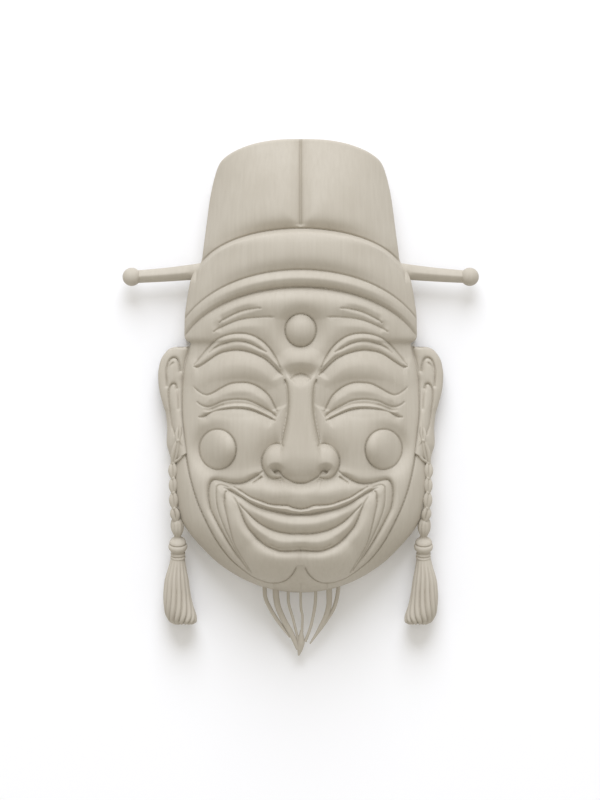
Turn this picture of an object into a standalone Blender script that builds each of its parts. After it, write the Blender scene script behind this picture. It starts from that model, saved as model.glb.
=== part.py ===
"""A hahoe mask, carved in one piece, lying on its back with the face up.

Written in millimetres and placed in metres. X runs across the face, +Y points
to the top of the hat, Z rises out of the face, and the rim rests on Z = 0.
"""

import math

import bmesh
import bpy
import numpy as np

MM = 0.001
NODE = "hahoe_mask"

# Overall sizes
HAT_TOP = 171.6
CHIN_END = -129.3
EDGE_HEIGHT = 20.0
CROWN_EDGE = 18.0
SHELL = 11.5
CAVITY_BRINK = 5.0
CAVITY_END = 25.0
GRID_STEP = 0.8
CAVITY_STEP = 12.0
FRONT_SHARE = 0.0217
HALF_WIDTH = 88.0
CAVITY_HALF = 80.0
MARGIN = 3.0
OVER_ALL = 120.0
SHARP_ANGLE = math.radians(40)

# Hat lines: each an ellipse arc given by its top, its half width and its drop
CROWN_LINE = (111.8, 70.2, 33.3)
BAND_LINE = (84.5, 86.2, 58.0)
BRIM_LINE = (73.0, 83.2, 51.8)

# Half width of the whole head against height, from the hat's top to the chin
OUTLINE = [
    (0.0, 171.6), (16.5, 170.8), (29.7, 168.6), (39.6, 165.4), (46.5, 162.0),
    (51.4, 158.4), (54.3, 154.4), (56.4, 148.8), (58.3, 141.8), (60.4, 131.2),
    (62.9, 112.2), (64.8, 97.7), (65.7, 91.7), (67.5, 88.2), (70.5, 84.5),
    (72.8, 79.2), (74.4, 71.9), (75.8, 63.4), (76.9, 55.4), (77.1, 47.5),
    (77.1, 40.9), (75.9, 38.3), (74.0, 37.0), (73.2, 36.0), (73.9, 33.0),
    (75.9, 26.4), (78.2, 17.2), (80.5, 4.0), (82.8, -11.2), (84.8, -27.7),
    (86.0, -42.2), (86.2, -54.1), (84.3, -66.0), (80.4, -78.5), (74.3, -89.1),
    (66.2, -98.5), (55.6, -108.9), (43.6, -117.2), (31.7, -123.1),
    (19.8, -126.9), (9.2, -128.8), (0.0, -129.3),
]
CAVITY_OUTLINE = [
    (0.0, 161.5), (28.0, 158.0), (43.0, 149.0), (50.0, 135.0), (54.0, 105.0),
    (60.0, 80.0), (65.0, 55.0), (66.0, 25.0), (71.0, 0.0), (76.0, -30.0),
    (77.0, -52.0), (73.0, -72.0), (62.0, -90.0), (44.0, -106.0),
    (24.0, -116.0), (0.0, -120.0),
]

# Height along the middle of the smooth form under the carving, as (Y, height)
CROWN_HEIGHT = [
    (176.0, 31.5), (170.7, 33.5), (157.0, 39.5), (144.0, 44.5), (131.0, 48.0),
    (120.0, 49.8), (111.5, 50.5), (91.0, 51.5), (65.0, 52.0),
]
HEAD_HEIGHT = [
    (121.0, 53.0), (111.5, 54.6), (101.0, 57.8), (85.0, 58.5), (72.0, 58.0),
    (58.0, 57.0), (38.0, 55.5), (16.0, 54.0), (-1.0, 53.5), (-28.0, 53.5),
    (-54.0, 54.0), (-71.0, 54.7), (-87.0, 54.8), (-100.0, 52.8),
    (-110.0, 46.8), (-118.0, 39.5), (-124.0, 32.0), (-127.5, 25.0),
    (-129.3, 20.0),
]
# Half the width of the crown's section, and of the head's under the hat
CROWN_HALF = [(145.0, 59.5), (120.0, 62.5), (100.0, 66.0)]
HAT_FOOT = 60.0
HAT_HALF = [(105.0, 65.5), (95.0, 66.5), (85.0, 69.8), (72.0, 73.9), (60.0, 76.3)]
HEAD_FULLNESS = 3.2
CROWN_FULLNESS = 2.6
CAVITY_FULLNESS = 2.4

# How far the hat stands over the face, and the face over the rest of the head
HAT_STEP = 1.6
FACE_STEP = 1.6
STEP_WIDTH = 3.0

# Soft mounds and hollows: centre X and Y, radii across and up, height
MOUNDS = {
    "forehead": (0.0, 62.0, 50.0, 11.0, 2.5),
    "brow": (44.9, 17.8, 38.0, 17.0, 3.5),
    "eyeball": (41.6, 0.0, 29.0, 13.0, 3.0),
    "cheek": (42.0, -23.0, 32.0, 25.0, 4.0),
    "frown": (0.0, 24.0, 17.0, 10.5, 2.8),
    "nose_dip": (0.0, 17.8, 13.0, 6.0, -1.2),
    "upper_lip": (0.0, -64.0, 52.0, 13.0, 4.5),
    "nostril": (16.2, -47.0, 6.0, 5.2, -2.0),
    "teeth": (0.0, -84.0, 50.0, 19.0, 2.8),
    "chin_lobe": (18.5, -110.9, 24.0, 20.0, 4.5),
}

# The nose: height and half width of its ridge against Y, then its wing
RIDGE_HEIGHT = [
    (21.0, 0.0), (16.0, 0.4), (13.0, 2.2), (9.5, 4.2), (5.0, 5.2), (-8.0, 6.0),
    (-20.0, 7.0), (-32.0, 8.2), (-38.0, 8.6), (-42.0, 8.2), (-46.0, 7.1),
    (-49.0, 5.8), (-52.0, 4.2), (-54.5, 2.5), (-56.2, 1.0), (-58.0, 0.0),
]
RIDGE_WIDTH = [
    (21.0, 8.6), (12.0, 10.2), (-1.0, 9.2), (-11.0, 9.5), (-21.0, 11.2),
    (-30.0, 13.2), (-38.0, 15.2), (-45.0, 15.8), (-51.0, 14.4), (-55.0, 11.5),
    (-60.0, 9.0),
]
RIDGE_FULLNESS = 6.0
NOSE_WING = (15.4, -41.4, 10.2, 11.4, 6.6)

# Round bosses: centre X and Y, radii across and up, and how much the dome is
# stronger towards the nose and the dish round it away from the nose
BOSSES = {
    "forehead_dot": (0.0, 44.6, 10.2, 10.8, 0.0),
    "cheek_dot": (54.8, -33.9, 12.3, 13.2, 0.8),
}
BOSS_HEIGHT = 5.2
DISH_DEPTH = 3.6
DISH_WIDTH = 5.5

# Carved strokes. Each holds its cut depth, the depth its banks roll down, how
# wide the banks are on its outer or upper side and on the other, how much of
# either end fades out, then the points it runs through.
STROKES = {
    "wrinkle_upper": (0.9, 2.4, 3.6, 2.6, 0.15, 0.40,
        [(54.1, 49.2), (50.2, 52.1), (39.6, 57.1), (30.5, 58.9), (25.0, 59.0)]),
    "wrinkle_lower": (0.9, 2.8, 3.6, 4.6, 0.15, 0.55,
        [(58.1, 43.2), (52.8, 46.5), (39.6, 51.7), (25.1, 53.3), (15.8, 53.1)]),
    "brow_upper": (1.0, 2.2, 4.6, 2.2, 0.08, 0.12,
        [(71.3, 21.1), (60.7, 33.7), (54.8, 38.9), (47.5, 41.8), (39.6, 42.6),
         (32.3, 41.4), (25.7, 37.8), (20.5, 32.7), (16.5, 26.4), (13.2, 19.1)]),
    "brow_middle": (0.9, 1.4, 1.8, 1.8, 0.15, 0.15,
        [(61.4, 29.4), (56.8, 32.9), (51.5, 35.6), (44.9, 37.4), (38.3, 37.3),
         (31.7, 35.2), (21.8, 29.7)]),
    "brow_lower": (1.0, 2.8, 2.0, 5.2, 0.05, 0.06,
        [(71.3, 20.8), (66.7, 21.1), (54.8, 28.7), (48.2, 30.9), (40.9, 31.5),
         (33.7, 30.2), (27.1, 27.7), (21.1, 23.8), (11.6, 14.5)]),
    "brow_fine": (0.5, 0.5, 1.0, 1.0, 0.30, 0.30,
        [(25.1, 28.1), (20.5, 25.1), (13.2, 17.5)]),
    "lid_fold": (1.0, 3.4, 6.0, 3.6, 0.45, 0.04,
        [(72.3, 8.9), (68.6, 5.3), (64.0, 2.4), (59.4, 2.6), (48.2, 8.6),
         (41.6, 10.0), (35.0, 9.9), (29.0, 7.9), (23.8, 4.3), (19.8, -0.3),
         (15.5, -9.2)]),
    "lid_valley": (0.0, 2.8, 5.4, 1.4, 0.15, 0.04,
        [(66.0, -7.0), (61.0, -8.2), (57.0, -7.3), (51.5, -5.0), (44.9, -3.8),
         (38.3, -3.7), (31.7, -4.8), (20.5, -9.9), (15.8, -13.2)]),
    "lid_edge": (0.9, 0.8, 1.6, 1.0, 0.15, 0.03,
        [(69.3, -2.0), (66.0, -4.5), (62.0, -5.8), (57.4, -4.8), (51.5, -2.2),
         (44.9, -1.0), (38.3, -1.0), (31.7, -2.6), (20.5, -8.6), (15.8, -12.5)]),
    "lid_fine": (0.5, 0.4, 1.0, 1.0, 0.30, 0.40,
        [(59.4, -7.5), (54.8, -5.6), (50.2, -4.2)]),
    "lower_lid": (0.9, 2.6, 1.6, 3.8, 0.10, 0.06,
        [(68.0, -12.7), (64.0, -12.2), (58.1, -9.2), (51.5, -7.5),
         (43.6, -6.7), (36.3, -7.1), (29.7, -8.8), (18.8, -13.9),
         (16.4, -15.4)]),
    "bridge_side": (1.0, 1.0, 2.4, 2.4, 0.08, 0.12,
        [(10.6, 12.5), (8.9, 7.9), (8.1, 0.7), (8.2, -7.9), (9.6, -17.2),
         (11.6, -25.7), (12.3, -29.5), (11.2, -32.6)]),
    "nose_root": (0.9, 3.4, 5.5, 4.2, 0.30, 0.0,
        [(6.9, 12.2), (3.6, 14.7), (0.0, 15.8)]),
    "nose_wing": (1.0, 2.6, 2.4, 6.0, 0.06, 0.05,
        [(12.8, -30.6), (16.5, -30.4), (19.8, -32.0), (22.9, -34.8),
         (24.9, -38.4), (25.6, -42.3), (24.9, -46.0), (23.2, -49.3),
         (21.1, -51.5), (18.5, -52.8), (15.8, -53.0), (12.5, -52.4)]),
    "nose_base": (1.1, 2.6, 3.4, 4.4, 0.10, 0.0,
        [(17.8, -49.4), (15.8, -47.9), (13.9, -48.2), (12.5, -50.2),
         (10.6, -52.1), (7.9, -53.8), (5.3, -55.1), (2.6, -55.9), (0.0, -56.1)]),
    "smile_fold": (0.9, 3.4, 5.8, 2.0, 0.06, 0.15,
        [(24.1, -47.8), (30.4, -52.0), (37.6, -55.7), (45.5, -56.1),
         (52.8, -54.3), (57.4, -54.0), (59.9, -56.8), (60.9, -62.7),
         (60.1, -70.6), (57.4, -77.9), (46.2, -97.7), (33.0, -115.5)]),
    "fold_middle": (0.9, 1.4, 1.8, 1.8, 0.12, 0.10,
        [(46.9, -59.3), (51.5, -57.6), (54.5, -57.8), (55.7, -60.7),
         (54.8, -72.6), (49.2, -87.8), (40.3, -104.9), (33.7, -113.9)]),
    "fold_inner": (0.9, 1.8, 1.8, 3.0, 0.10, 0.05,
        [(48.2, -61.1), (49.8, -62.7), (50.2, -66.7), (49.8, -72.6),
         (44.6, -93.7), (41.2, -101.3), (32.3, -115.8)]),
    "lip_small": (0.9, 1.4, 1.0, 1.8, 0.15, 0.25,
        [(25.1, -51.7), (28.4, -54.1), (32.0, -56.4)]),
    "lip_top": (0.9, 3.8, 5.6, 1.6, 0.15, 0.0,
        [(44.9, -58.1), (38.9, -61.7), (33.0, -65.3), (26.4, -67.8),
         (19.8, -70.0), (13.2, -70.6), (8.6, -70.8), (4.6, -72.3), (0.0, -73.1)]),
    "lip_edge": (0.9, 4.2, 2.0, 4.4, 0.12, 0.0,
        [(51.5, -58.6), (44.9, -61.9), (38.9, -65.3), (33.0, -69.0),
         (26.4, -71.9), (19.8, -73.8), (13.2, -75.2), (6.6, -76.4), (0.0, -76.8)]),
    "teeth_edge": (1.0, 5.0, 4.6, 3.6, 0.40, 0.0,
        [(41.6, -68.4), (38.6, -71.9), (35.2, -75.2), (31.5, -78.9),
         (26.4, -83.0), (19.8, -86.4), (13.2, -88.4), (6.6, -89.3), (0.0, -89.4)]),
    "lip_inner": (0.6, 0.6, 1.0, 1.0, 0.35, 0.0,
        [(20.5, -96.2), (15.8, -98.5), (11.2, -99.2), (5.3, -98.8), (0.0, -98.4)]),
    "lower_lip": (1.0, 4.4, 4.0, 2.8, 0.40, 0.0,
        [(45.9, -63.4), (42.2, -68.6), (39.6, -74.6), (37.6, -79.9),
         (35.0, -85.1), (31.7, -89.1), (27.7, -93.4), (23.1, -97.0),
         (18.5, -99.2), (13.2, -100.7), (6.6, -100.8), (0.0, -100.3)]),
}
FACE_EDGE = [
    (74.6, 31.7), (76.9, 23.8), (78.2, 14.5), (78.9, -7.9), (75.8, -37.6),
    (72.9, -52.8), (68.6, -67.0), (62.7, -80.5), (54.8, -95.0), (45.5, -106.9),
    (33.3, -116.8), (25.1, -120.8), (17.8, -122.1), (11.2, -120.8),
    (5.9, -116.5), (2.3, -110.2),
]
# The same fields for the hat's lines and for the carved edge of the face
HAT_STROKES = [
    (CROWN_LINE, (1.0, 5.0, 5.4, 2.2, 0.8, 0.0)),
    (BAND_LINE, (1.0, 4.8, 5.2, 4.0, 0.9, 0.0)),
    (BRIM_LINE, (0.8, 4.6, 4.4, 4.0, 0.6, 0.0)),
]
FACE_STROKE = (1.4, 1.0, 1.6, 2.0, 0.02, 0.08)
CUT_WIDTH = 0.6
# A cut keeps its full depth this many times nearer to its ends than the banks do
CUT_FADE = 6.0
BANK_POWER = 1.5
SEAM_BANK = 4.2
SEAM_WIDTH = 5.4
SEAM_CUT = 1.0
SEAM_CUT_WIDTH = 1.1

# Ears: plates between the carved edge of the face and this outer edge
EAR_EDGE = [
    (76.0, 34.3), (79.2, 33.8), (82.5, 34.1), (85.8, 33.4), (88.6, 31.8),
    (92.6, 26.4), (94.4, 19.8), (94.8, 13.9), (93.9, 4.6), (91.3, -5.3),
    (89.8, -9.9), (88.8, -19.1), (89.1, -27.7), (88.9, -31.7), (87.5, -36.3),
    (86.4, -40.3), (85.0, -46.0),
]
EAR_ROOT = 4.0
EAR_BACK = 6.0
EAR_SEAT = 14.0
EAR_SWELL = 3.0
EAR_ROUND = 2.2
EAR_COLUMNS = 7
EAR_ROWS = 14
LOBE_FOOT = -45.0
LOBE_SIDE = 85.0
LOBE_RISE = 0.6
EAR_STROKES = [
    (1.2, 1.1, 1.6, [(88.8, 8.0), (89.3, 17.0), (88.2, 22.5), (86.6, 25.6),
                     (84.2, 26.8), (82.0, 25.6), (80.6, 22.0), (79.9, 18.0)]),
    (0.7, 0.7, 1.1, [(88.6, 16.5), (87.0, 21.0), (84.9, 23.2)]),
    (1.2, 1.2, 1.7, [(82.2, 6.5), (83.2, 9.0), (85.1, 9.3), (86.9, 7.0), (87.7, 3.0),
                     (87.5, -3.0), (86.7, -8.0), (86.2, -13.0), (85.2, -19.0), (83.4, -24.0)]),
    (0.5, 0.7, 1.2, [(82.2, 6.5), (81.4, 3.0), (81.0, -3.0), (81.0, -7.0)]),
]

# The braid of one side: the places where its links meet, from the ear's lobe to
# the pendant, and how wide each link swells between them
LINK_PLACES = [
    (80.6, -19.2, 23.8), (81.3, -28.2, 24.6), (84.8, -43.1, 21.0), (84.7, -53.2, 21.0),
    (84.5, -62.8, 20.4), (84.0, -73.0, 19.4), (82.8, -81.4, 17.6),
]
LINK_WIDTHS = [2.1, 2.8, 3.0, 2.9, 3.0, 3.3]
LINK_NECK = 1.8
BRAID_SPANS = 4

# A thin ring round the lobe
LOBE_RING = [
    (79.4, -28.6, 25.4), (77.6, -33.0, 25.4), (78.4, -37.6, 25.2), (80.8, -40.6, 23.6),
    (84.0, -42.6, 21.0),
]
LOBE_RADII = [1.2, 1.2]

# The pendant under the braid: X, Y, Z and radius of its rings
PENDANT_SIDES = 10
PENDANT = [
    (82.6, -80.0, 15.6, 2.4), (82.3, -82.5, 15.2, 4.1), (82.0, -86.2, 14.4, 4.3),
    (81.9, -90.0, 13.8, 3.0), (81.8, -92.2, 13.4, 2.4), (81.8, -94.4, 13.0, 5.0),
    (81.7, -96.5, 12.8, 5.2), (81.7, -98.8, 12.4, 6.2), (81.6, -101.4, 12.0, 4.8),
    (81.6, -104.0, 11.7, 4.6), (81.6, -106.4, 11.3, 4.8),
]

# The tassel's skirt: height, middle and radius of its rings, top to bottom
TASSEL = [
    (-105.5, 81.7, 4.5), (-112.8, 82.1, 6.0), (-120.6, 82.5, 7.9), (-127.4, 82.4, 8.8),
    (-134.0, 81.9, 9.5), (-140.6, 80.7, 10.2), (-145.6, 79.2, 10.2), (-148.9, 78.2, 9.0),
    (-150.6, 77.8, 6.0),
]
TASSEL_LEVEL = 11.0
TASSEL_FLUTES = 14
FLUTE_DEPTH = 0.17
# Wings: a rod of rounded diamond section from the hat's band to a ball
WING = [(66.0, 84.2, 12.5), (74.0, 83.5, 12.5), (90.0, 82.0, 12.5), (110.0, 80.6, 12.5)]
WING_RADII = [5.6, 5.1, 4.6, 4.2]
WING_BALL = (112.4, 80.6, 12.5)
WING_BALL_RADIUS = 6.1

# Beard: each strand's course from under the chin, and its radii down it
BEARD = [
    ([(-24.1, -119.0, 15.0), (-24.0, -125.5, 15.0), (-23.3, -133.0, 14.4), (-20.4, -139.6, 13.6),
      (-16.5, -146.2, 12.6), (-12.1, -152.4, 11.6), (-7.2, -159.2, 10.6)],
     [1.3, 1.4, 1.3, 1.3, 1.2, 0.5]),
    ([(-16.6, -121.0, 16.0), (-16.6, -128.0, 15.8), (-15.4, -137.5, 14.6), (-11.6, -147.0, 13.0),
      (-5.8, -157.5, 11.2), (-1.6, -167.0, 9.4)], [1.9, 2.1, 2.0, 1.9, 1.5]),
    ([(-8.3, -122.0, 16.4), (-8.3, -130.0, 15.6), (-7.9, -137.0, 14.8), (-5.4, -145.5, 13.4),
      (-3.2, -154.5, 11.8), (-1.2, -162.5, 10.2)], [0.9, 1.0, 0.9, 0.9]),
    ([(0.0, -120.0, 17.0), (0.0, -130.0, 15.8), (0.2, -139.5, 14.4), (1.2, -145.0, 13.4),
      (1.0, -153.0, 12.0), (0.6, -162.0, 10.2)], [0.8, 0.9, 0.8, 0.9]),
    ([(9.9, -121.5, 16.4), (10.0, -129.0, 15.8), (9.6, -137.0, 14.8), (8.2, -145.5, 13.4),
      (6.2, -153.5, 12.0), (3.0, -162.0, 10.4)], [0.9, 1.1, 1.0, 1.0]),
    ([(18.8, -120.0, 16.0), (18.9, -128.5, 15.8), (18.8, -137.5, 14.6), (16.6, -145.5, 13.4),
      (12.2, -154.0, 12.0), (6.2, -163.4, 10.6)], [1.8, 1.9, 1.8, 1.5, 0.5]),
    ([(25.2, -118.5, 15.0), (25.0, -126.0, 15.0), (24.0, -133.0, 14.4), (21.8, -140.0, 13.6),
      (17.4, -147.5, 12.6), (12.2, -155.0, 11.6), (7.0, -162.4, 10.6)],
     [1.2, 1.3, 1.3, 1.2, 1.0, 0.5]),
    ([(0.5, -154.0, 11.6), (0.4, -158.5, 11.0), (0.2, -163.0, 10.2), (-0.5, -167.4, 9.2),
      (-1.4, -171.4, 8.4)], [0.6, 1.9, 2.5, 1.8, 0.5]),
]
COAT = (0.50, 0.46, 0.38)


def smooth(t):
    t = np.clip(t, 0.0, 1.0)
    return t * t * (3.0 - 2.0 * t)


def through(points, spans=8):
    """A smooth line through the points, as a finer list of points."""
    p = np.array(points, float)
    p = np.vstack([2 * p[0] - p[1], p, 2 * p[-1] - p[-2]])
    t = np.linspace(0.0, 1.0, spans, endpoint=False)[:, None]
    line = []
    for a, b, c, d in zip(p[:-3], p[1:-2], p[2:-1], p[3:]):
        square = 2 * a - 5 * b + 4 * c - d
        cube = 3 * b - a - 3 * c + d
        line.append(0.5 * (2 * b + (c - a) * t + square * t**2 + cube * t**3))
    return np.vstack(line + [p[-2:-1]])


def along(table, y):
    """The value at each height y of a table of (height, value) from the top down."""
    line = through(table)
    return np.interp(-y, -line[:, 0], line[:, 1])


def half_width(points, y):
    line = through(points, 8)
    return np.interp(-y, -line[:, 1], line[:, 0])


def arc_points(line, count=60):
    top, half, drop = line
    turn = np.linspace(1.35, 0.0, count)
    return np.stack([half * np.sin(turn), top - drop * (1 - np.cos(turn))], 1)


def under_arc(a, y, line):
    """How far a point lies below one of the hat's lines, measured across it."""
    top, half, drop = line
    s = np.clip(a / half, 0.0, 0.985)
    root = np.sqrt(1 - s * s)
    return (top - drop * (1 - root) - y) / np.hypot(1, drop / half * s / root)


def near_line(a, y, line, reach):
    """Distance to the line, its side, the share passed, and which points are near."""
    distance = np.full(a.shape, 1e3)
    side = np.ones(a.shape)
    share = np.zeros(a.shape)
    low, high = line.min(0) - reach, line.max(0) + reach
    near = (a > low[0]) & (a < high[0]) & (y > low[1]) & (y < high[1])
    near_a, near_y = a[near], y[near]
    steps = np.diff(line, axis=0)
    lengths = np.hypot(steps[:, 0], steps[:, 1])
    starts = np.concatenate([[0.0], np.cumsum(lengths)])
    best = np.full(near_a.shape, 1e9)
    best_side = np.ones_like(best)
    best_share = np.zeros_like(best)
    for start, step, length, passed in zip(line, steps, lengths, starts):
        da, dy = near_a - start[0], near_y - start[1]
        t = np.clip((da * step[0] + dy * step[1]) / length**2, 0.0, 1.0)
        squared = (da - t * step[0]) ** 2 + (dy - t * step[1]) ** 2
        closer = squared < best
        best[closer] = squared[closer]
        best_side[closer] = np.sign(step[0] * dy - step[1] * da)[closer]
        best_share[closer] = (passed + t[closer] * length) / starts[-1]
    distance[near] = np.sqrt(best)
    side[near] = best_side
    share[near] = best_share
    return distance, side, share, near


def mound(a, y, shape):
    x0, y0, across, up, height = shape
    spot = ((a - x0) / across) ** 2 + ((y - y0) / up) ** 2
    return height * (1 - np.clip(spot, 0.0, 1.0)) ** 1.5


def nose(a, y):
    across = 1 - np.clip(a / along(RIDGE_WIDTH, y), 0.0, 1.0) ** RIDGE_FULLNESS
    ridge = np.maximum(along(RIDGE_HEIGHT, y), 0.0) * across
    x0, y0, wide, up, height = NOSE_WING
    spot = ((a - x0) / wide) ** 2 + ((y - y0) / up) ** 2
    wing = height * (1 - np.clip(spot, 0.0, 1.0)) ** 0.8
    # the two forms melt into each other where they meet
    return (ridge**3.5 + wing**3.5) ** (1 / 3.5)


def smooth_form(a, y):
    """The hat and the head before the strokes, and how far the face has begun."""
    crown_rise = along(CROWN_HEIGHT, y) - CROWN_EDGE
    u = np.clip(a / along(CROWN_HALF, y), 0.0, 1.0)
    crown = CROWN_EDGE + crown_rise * (1 - u**CROWN_FULLNESS)
    half = np.where(y > HAT_FOOT, along(HAT_HALF, y), half_width(OUTLINE, y))
    u = np.clip(a / np.maximum(half, 1e-3), 0.0, 1.0)
    head = EDGE_HEIGHT + (along(HEAD_HEIGHT, y) - EDGE_HEIGHT) * (1 - u**HEAD_FULLNESS)
    # each step ends or begins at its line, so that the line runs along its foot
    in_band = smooth(under_arc(a, y, CROWN_LINE) / STEP_WIDTH)
    on_face = smooth(under_arc(a, y, BRIM_LINE) / STEP_WIDTH + 1.0)
    height = crown * (1 - in_band) + head * in_band - HAT_STEP * on_face
    for shape in MOUNDS.values():
        height = height + mound(a, y, shape) * on_face
    return height + nose(a, y), on_face


def outside_face(a, y):
    """One where a point is outside the carved edge of the face, else zero."""
    line = through(FACE_EDGE, 6)
    lowest = int(line[:, 1].argmin())
    flank, notch = line[: lowest + 1], line[lowest:]
    outer = np.interp(-y, -flank[:, 1], flank[:, 0], left=1e3, right=0.0)
    inner = np.interp(y, notch[:, 1], notch[:, 0], right=0.0)
    return smooth((a - outer) / 1.0 + 0.5) + smooth((inner - a) / 1.0 + 0.5) * (inner > 0)


def carve(a, y):
    """How far the banks roll down, and how deep the cuts go, at each point."""
    strokes = [(through(stroke[6]),) + stroke[:6] for stroke in STROKES.values()]
    strokes += [(arc_points(line),) + shape for line, shape in HAT_STROKES]
    strokes.append((through(FACE_EDGE),) + FACE_STROKE)
    on_crown = smooth(-under_arc(a, y, CROWN_LINE) / 3.0)
    roll = SEAM_BANK * np.exp(-((a / SEAM_WIDTH) ** BANK_POWER)) * on_crown
    cut = SEAM_CUT * np.exp(-((a / SEAM_CUT_WIDTH) ** 2)) * on_crown
    for line, depth, bank, upper, lower, begin, end in strokes:
        reach = 3.2 * max(upper, lower) + 1.0
        distance, side, share, near = near_line(a, y, line, reach)
        fade = np.ones_like(a)
        ends = np.ones_like(a)
        for passed, length in ((share, begin), (1 - share, end)):
            if length > 0:
                fade = fade * smooth(passed / length)
                ends = ends * smooth(CUT_FADE * passed / length)
        width = np.where(side > 0, lower, upper)
        rolled = bank * fade * np.exp(-((distance / width) ** BANK_POWER))
        grooved = depth * ends * np.exp(-((distance / CUT_WIDTH) ** 2))
        roll = np.where(near, (roll**3 + rolled**3) ** (1 / 3), roll)
        cut = np.where(near, np.maximum(cut, grooved), cut)
    return roll, cut


def bosses(a, y):
    """The round marks, each a dome in a soft dish with a ring cut between them."""
    height = np.zeros_like(a)
    cut = np.zeros_like(a)
    for x0, y0, across, up, lean in BOSSES.values():
        spot = np.hypot((a - x0) / across, (y - y0) / up)
        away = (spot - 1) * (across + up) / 2
        outwards = lean * np.clip((a - x0) / across, -1.0, 1.0)
        dome = BOSS_HEIGHT * (1 - np.clip(spot, 0.0, 1.0) ** 2.2)
        dish = DISH_DEPTH * np.exp(-((np.maximum(away, 0.0) / DISH_WIDTH) ** 1.6))
        height = height + dome * (1 - outwards) - dish * (1 + outwards)
        cut = np.maximum(cut, np.exp(-((away / CUT_WIDTH) ** 2)))
    return height, cut


def front_height(a, y):
    height, on_face = smooth_form(a, y)
    roll, cut = carve(a, y)
    marks, rings = bosses(a, y)
    height = height - roll + marks - np.maximum(cut, rings)
    return height - FACE_STEP * outside_face(a, y) * on_face


def cavity_height(a, y):
    half = np.maximum(half_width(CAVITY_OUTLINE, y), 1e-3)
    u = np.clip(a / half, 0.0, 1.0)
    top, end = CAVITY_OUTLINE[0][1], CAVITY_OUTLINE[-1][1]
    ends = smooth((top - y) / CAVITY_END) * smooth((y - end) / CAVITY_END)
    middle = np.minimum(along(HEAD_HEIGHT, y), along(CROWN_HEIGHT, y)) - SHELL
    rise = (1 - u**CAVITY_FULLNESS) * ends**0.6
    return CAVITY_BRINK + (middle - CAVITY_BRINK) * rise


def made(name, mesh, collection):
    obj = bpy.data.objects.new(name, mesh)
    collection.objects.link(obj)
    return obj


def skirted_grid(name, columns, rows):
    """A flat grid with a skirt and a floor: its mesh, points and which are the foot."""
    bm = bmesh.new()
    bmesh.ops.create_grid(bm, x_segments=columns, y_segments=rows, size=1.0)
    edges = [edge for edge in bm.edges if edge.is_boundary]
    skirt = bmesh.ops.extrude_edge_only(bm, edges=edges)["geom"]
    foot = {item for item in skirt if isinstance(item, bmesh.types.BMVert)}
    bmesh.ops.contextual_create(bm, geom=[edge for edge in bm.edges if edge.is_boundary])
    points = np.array([vert.co for vert in bm.verts])
    is_foot = np.array([vert in foot for vert in bm.verts])
    mesh = bpy.data.meshes.new(name)
    bm.to_mesh(mesh)
    bm.free()
    return mesh, points, is_foot


def placed(mesh, points, collection):
    """The mesh as an object, its points set in millimetres and its faces turned out."""
    mesh.vertices.foreach_set("co", (points * MM).ravel())
    bm = bmesh.new()
    bm.from_mesh(mesh)
    bmesh.ops.recalc_face_normals(bm, faces=bm.faces)
    bm.to_mesh(mesh)
    bm.free()
    return made(mesh.name, mesh, collection)


def surface_block(name, collection, box, step, height, floor):
    """A block whose top is a height over a flat grid, down to a flat floor."""
    across, low, high = box
    columns = max(2, round(2 * across / step))
    rows = max(2, round((high - low) / step))
    mesh, points, foot = skirted_grid(name, columns, rows)
    x = points[:, 0] * across
    y = (low + high) / 2 + points[:, 1] * (high - low) / 2
    z = np.where(foot, floor, height(np.abs(x), y))
    return placed(mesh, np.stack([x, y, z], 1), collection)


def prism(name, collection, outline, floor, top):
    """The mirrored outline as a solid from the floor to the top."""
    line = np.array(outline)
    ring = np.vstack([line, line[-2:0:-1] * (-1, 1)])
    curve = bpy.data.curves.new(name, "CURVE")
    curve.dimensions = "2D"
    curve.fill_mode = "BOTH"
    curve.extrude = (top - floor) / 2 * MM
    spline = curve.splines.new("POLY")
    spline.points.add(len(ring) - 1)
    for point, (x, y) in zip(spline.points, ring):
        point.co = (x * MM, y * MM, 0.0, 1.0)
    spline.use_cyclic_u = True
    return curve_mesh(name, curve, collection, (0.0, 0.0, (top + floor) / 2))


def curve_mesh(name, curve, collection, place=(0.0, 0.0, 0.0)):
    helper = made(name + "_curve", curve, collection)
    graph = bpy.context.evaluated_depsgraph_get()
    mesh = bpy.data.meshes.new_from_object(helper.evaluated_get(graph))
    bpy.data.objects.remove(helper)
    bm = bmesh.new()
    bm.from_mesh(mesh)
    bmesh.ops.remove_doubles(bm, verts=bm.verts, dist=1e-6)
    bmesh.ops.recalc_face_normals(bm, faces=bm.faces)
    bmesh.ops.translate(bm, verts=bm.verts, vec=[value * MM for value in place])
    bm.to_mesh(mesh)
    bm.free()
    return made(name, mesh, collection)


def strand(name, collection, points, radii, sides, spans=2):
    """A rounded strand through points, its radius changing from end to end."""
    line = through(points, spans)
    marks = np.linspace(0.0, 1.0, len(radii))
    grown = np.interp(np.linspace(0.0, 1.0, len(line)), marks, radii)
    curve = bpy.data.curves.new(name, "CURVE")
    curve.dimensions = "3D"
    curve.use_fill_caps = True
    curve.bevel_depth = MM
    curve.bevel_resolution = sides // 2 - 2
    spline = curve.splines.new("POLY")
    spline.points.add(len(line) - 1)
    for point, place, radius in zip(spline.points, line, grown):
        point.co = (*(place * MM), 1.0)
        point.radius = radius
    return curve_mesh(name, curve, collection)


def ball(name, collection, place, radii, segments=10, rings=6):
    bm = bmesh.new()
    bmesh.ops.create_uvsphere(bm, u_segments=segments, v_segments=rings, radius=1.0)
    bmesh.ops.scale(bm, verts=bm.verts, vec=[radius * MM for radius in radii])
    bmesh.ops.translate(bm, verts=bm.verts, vec=[value * MM for value in place])
    mesh = bpy.data.meshes.new(name)
    bm.to_mesh(mesh)
    bm.free()
    return made(name, mesh, collection)


def mirrored(points):
    return [(-x, y, z) for x, y, z in points]


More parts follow.
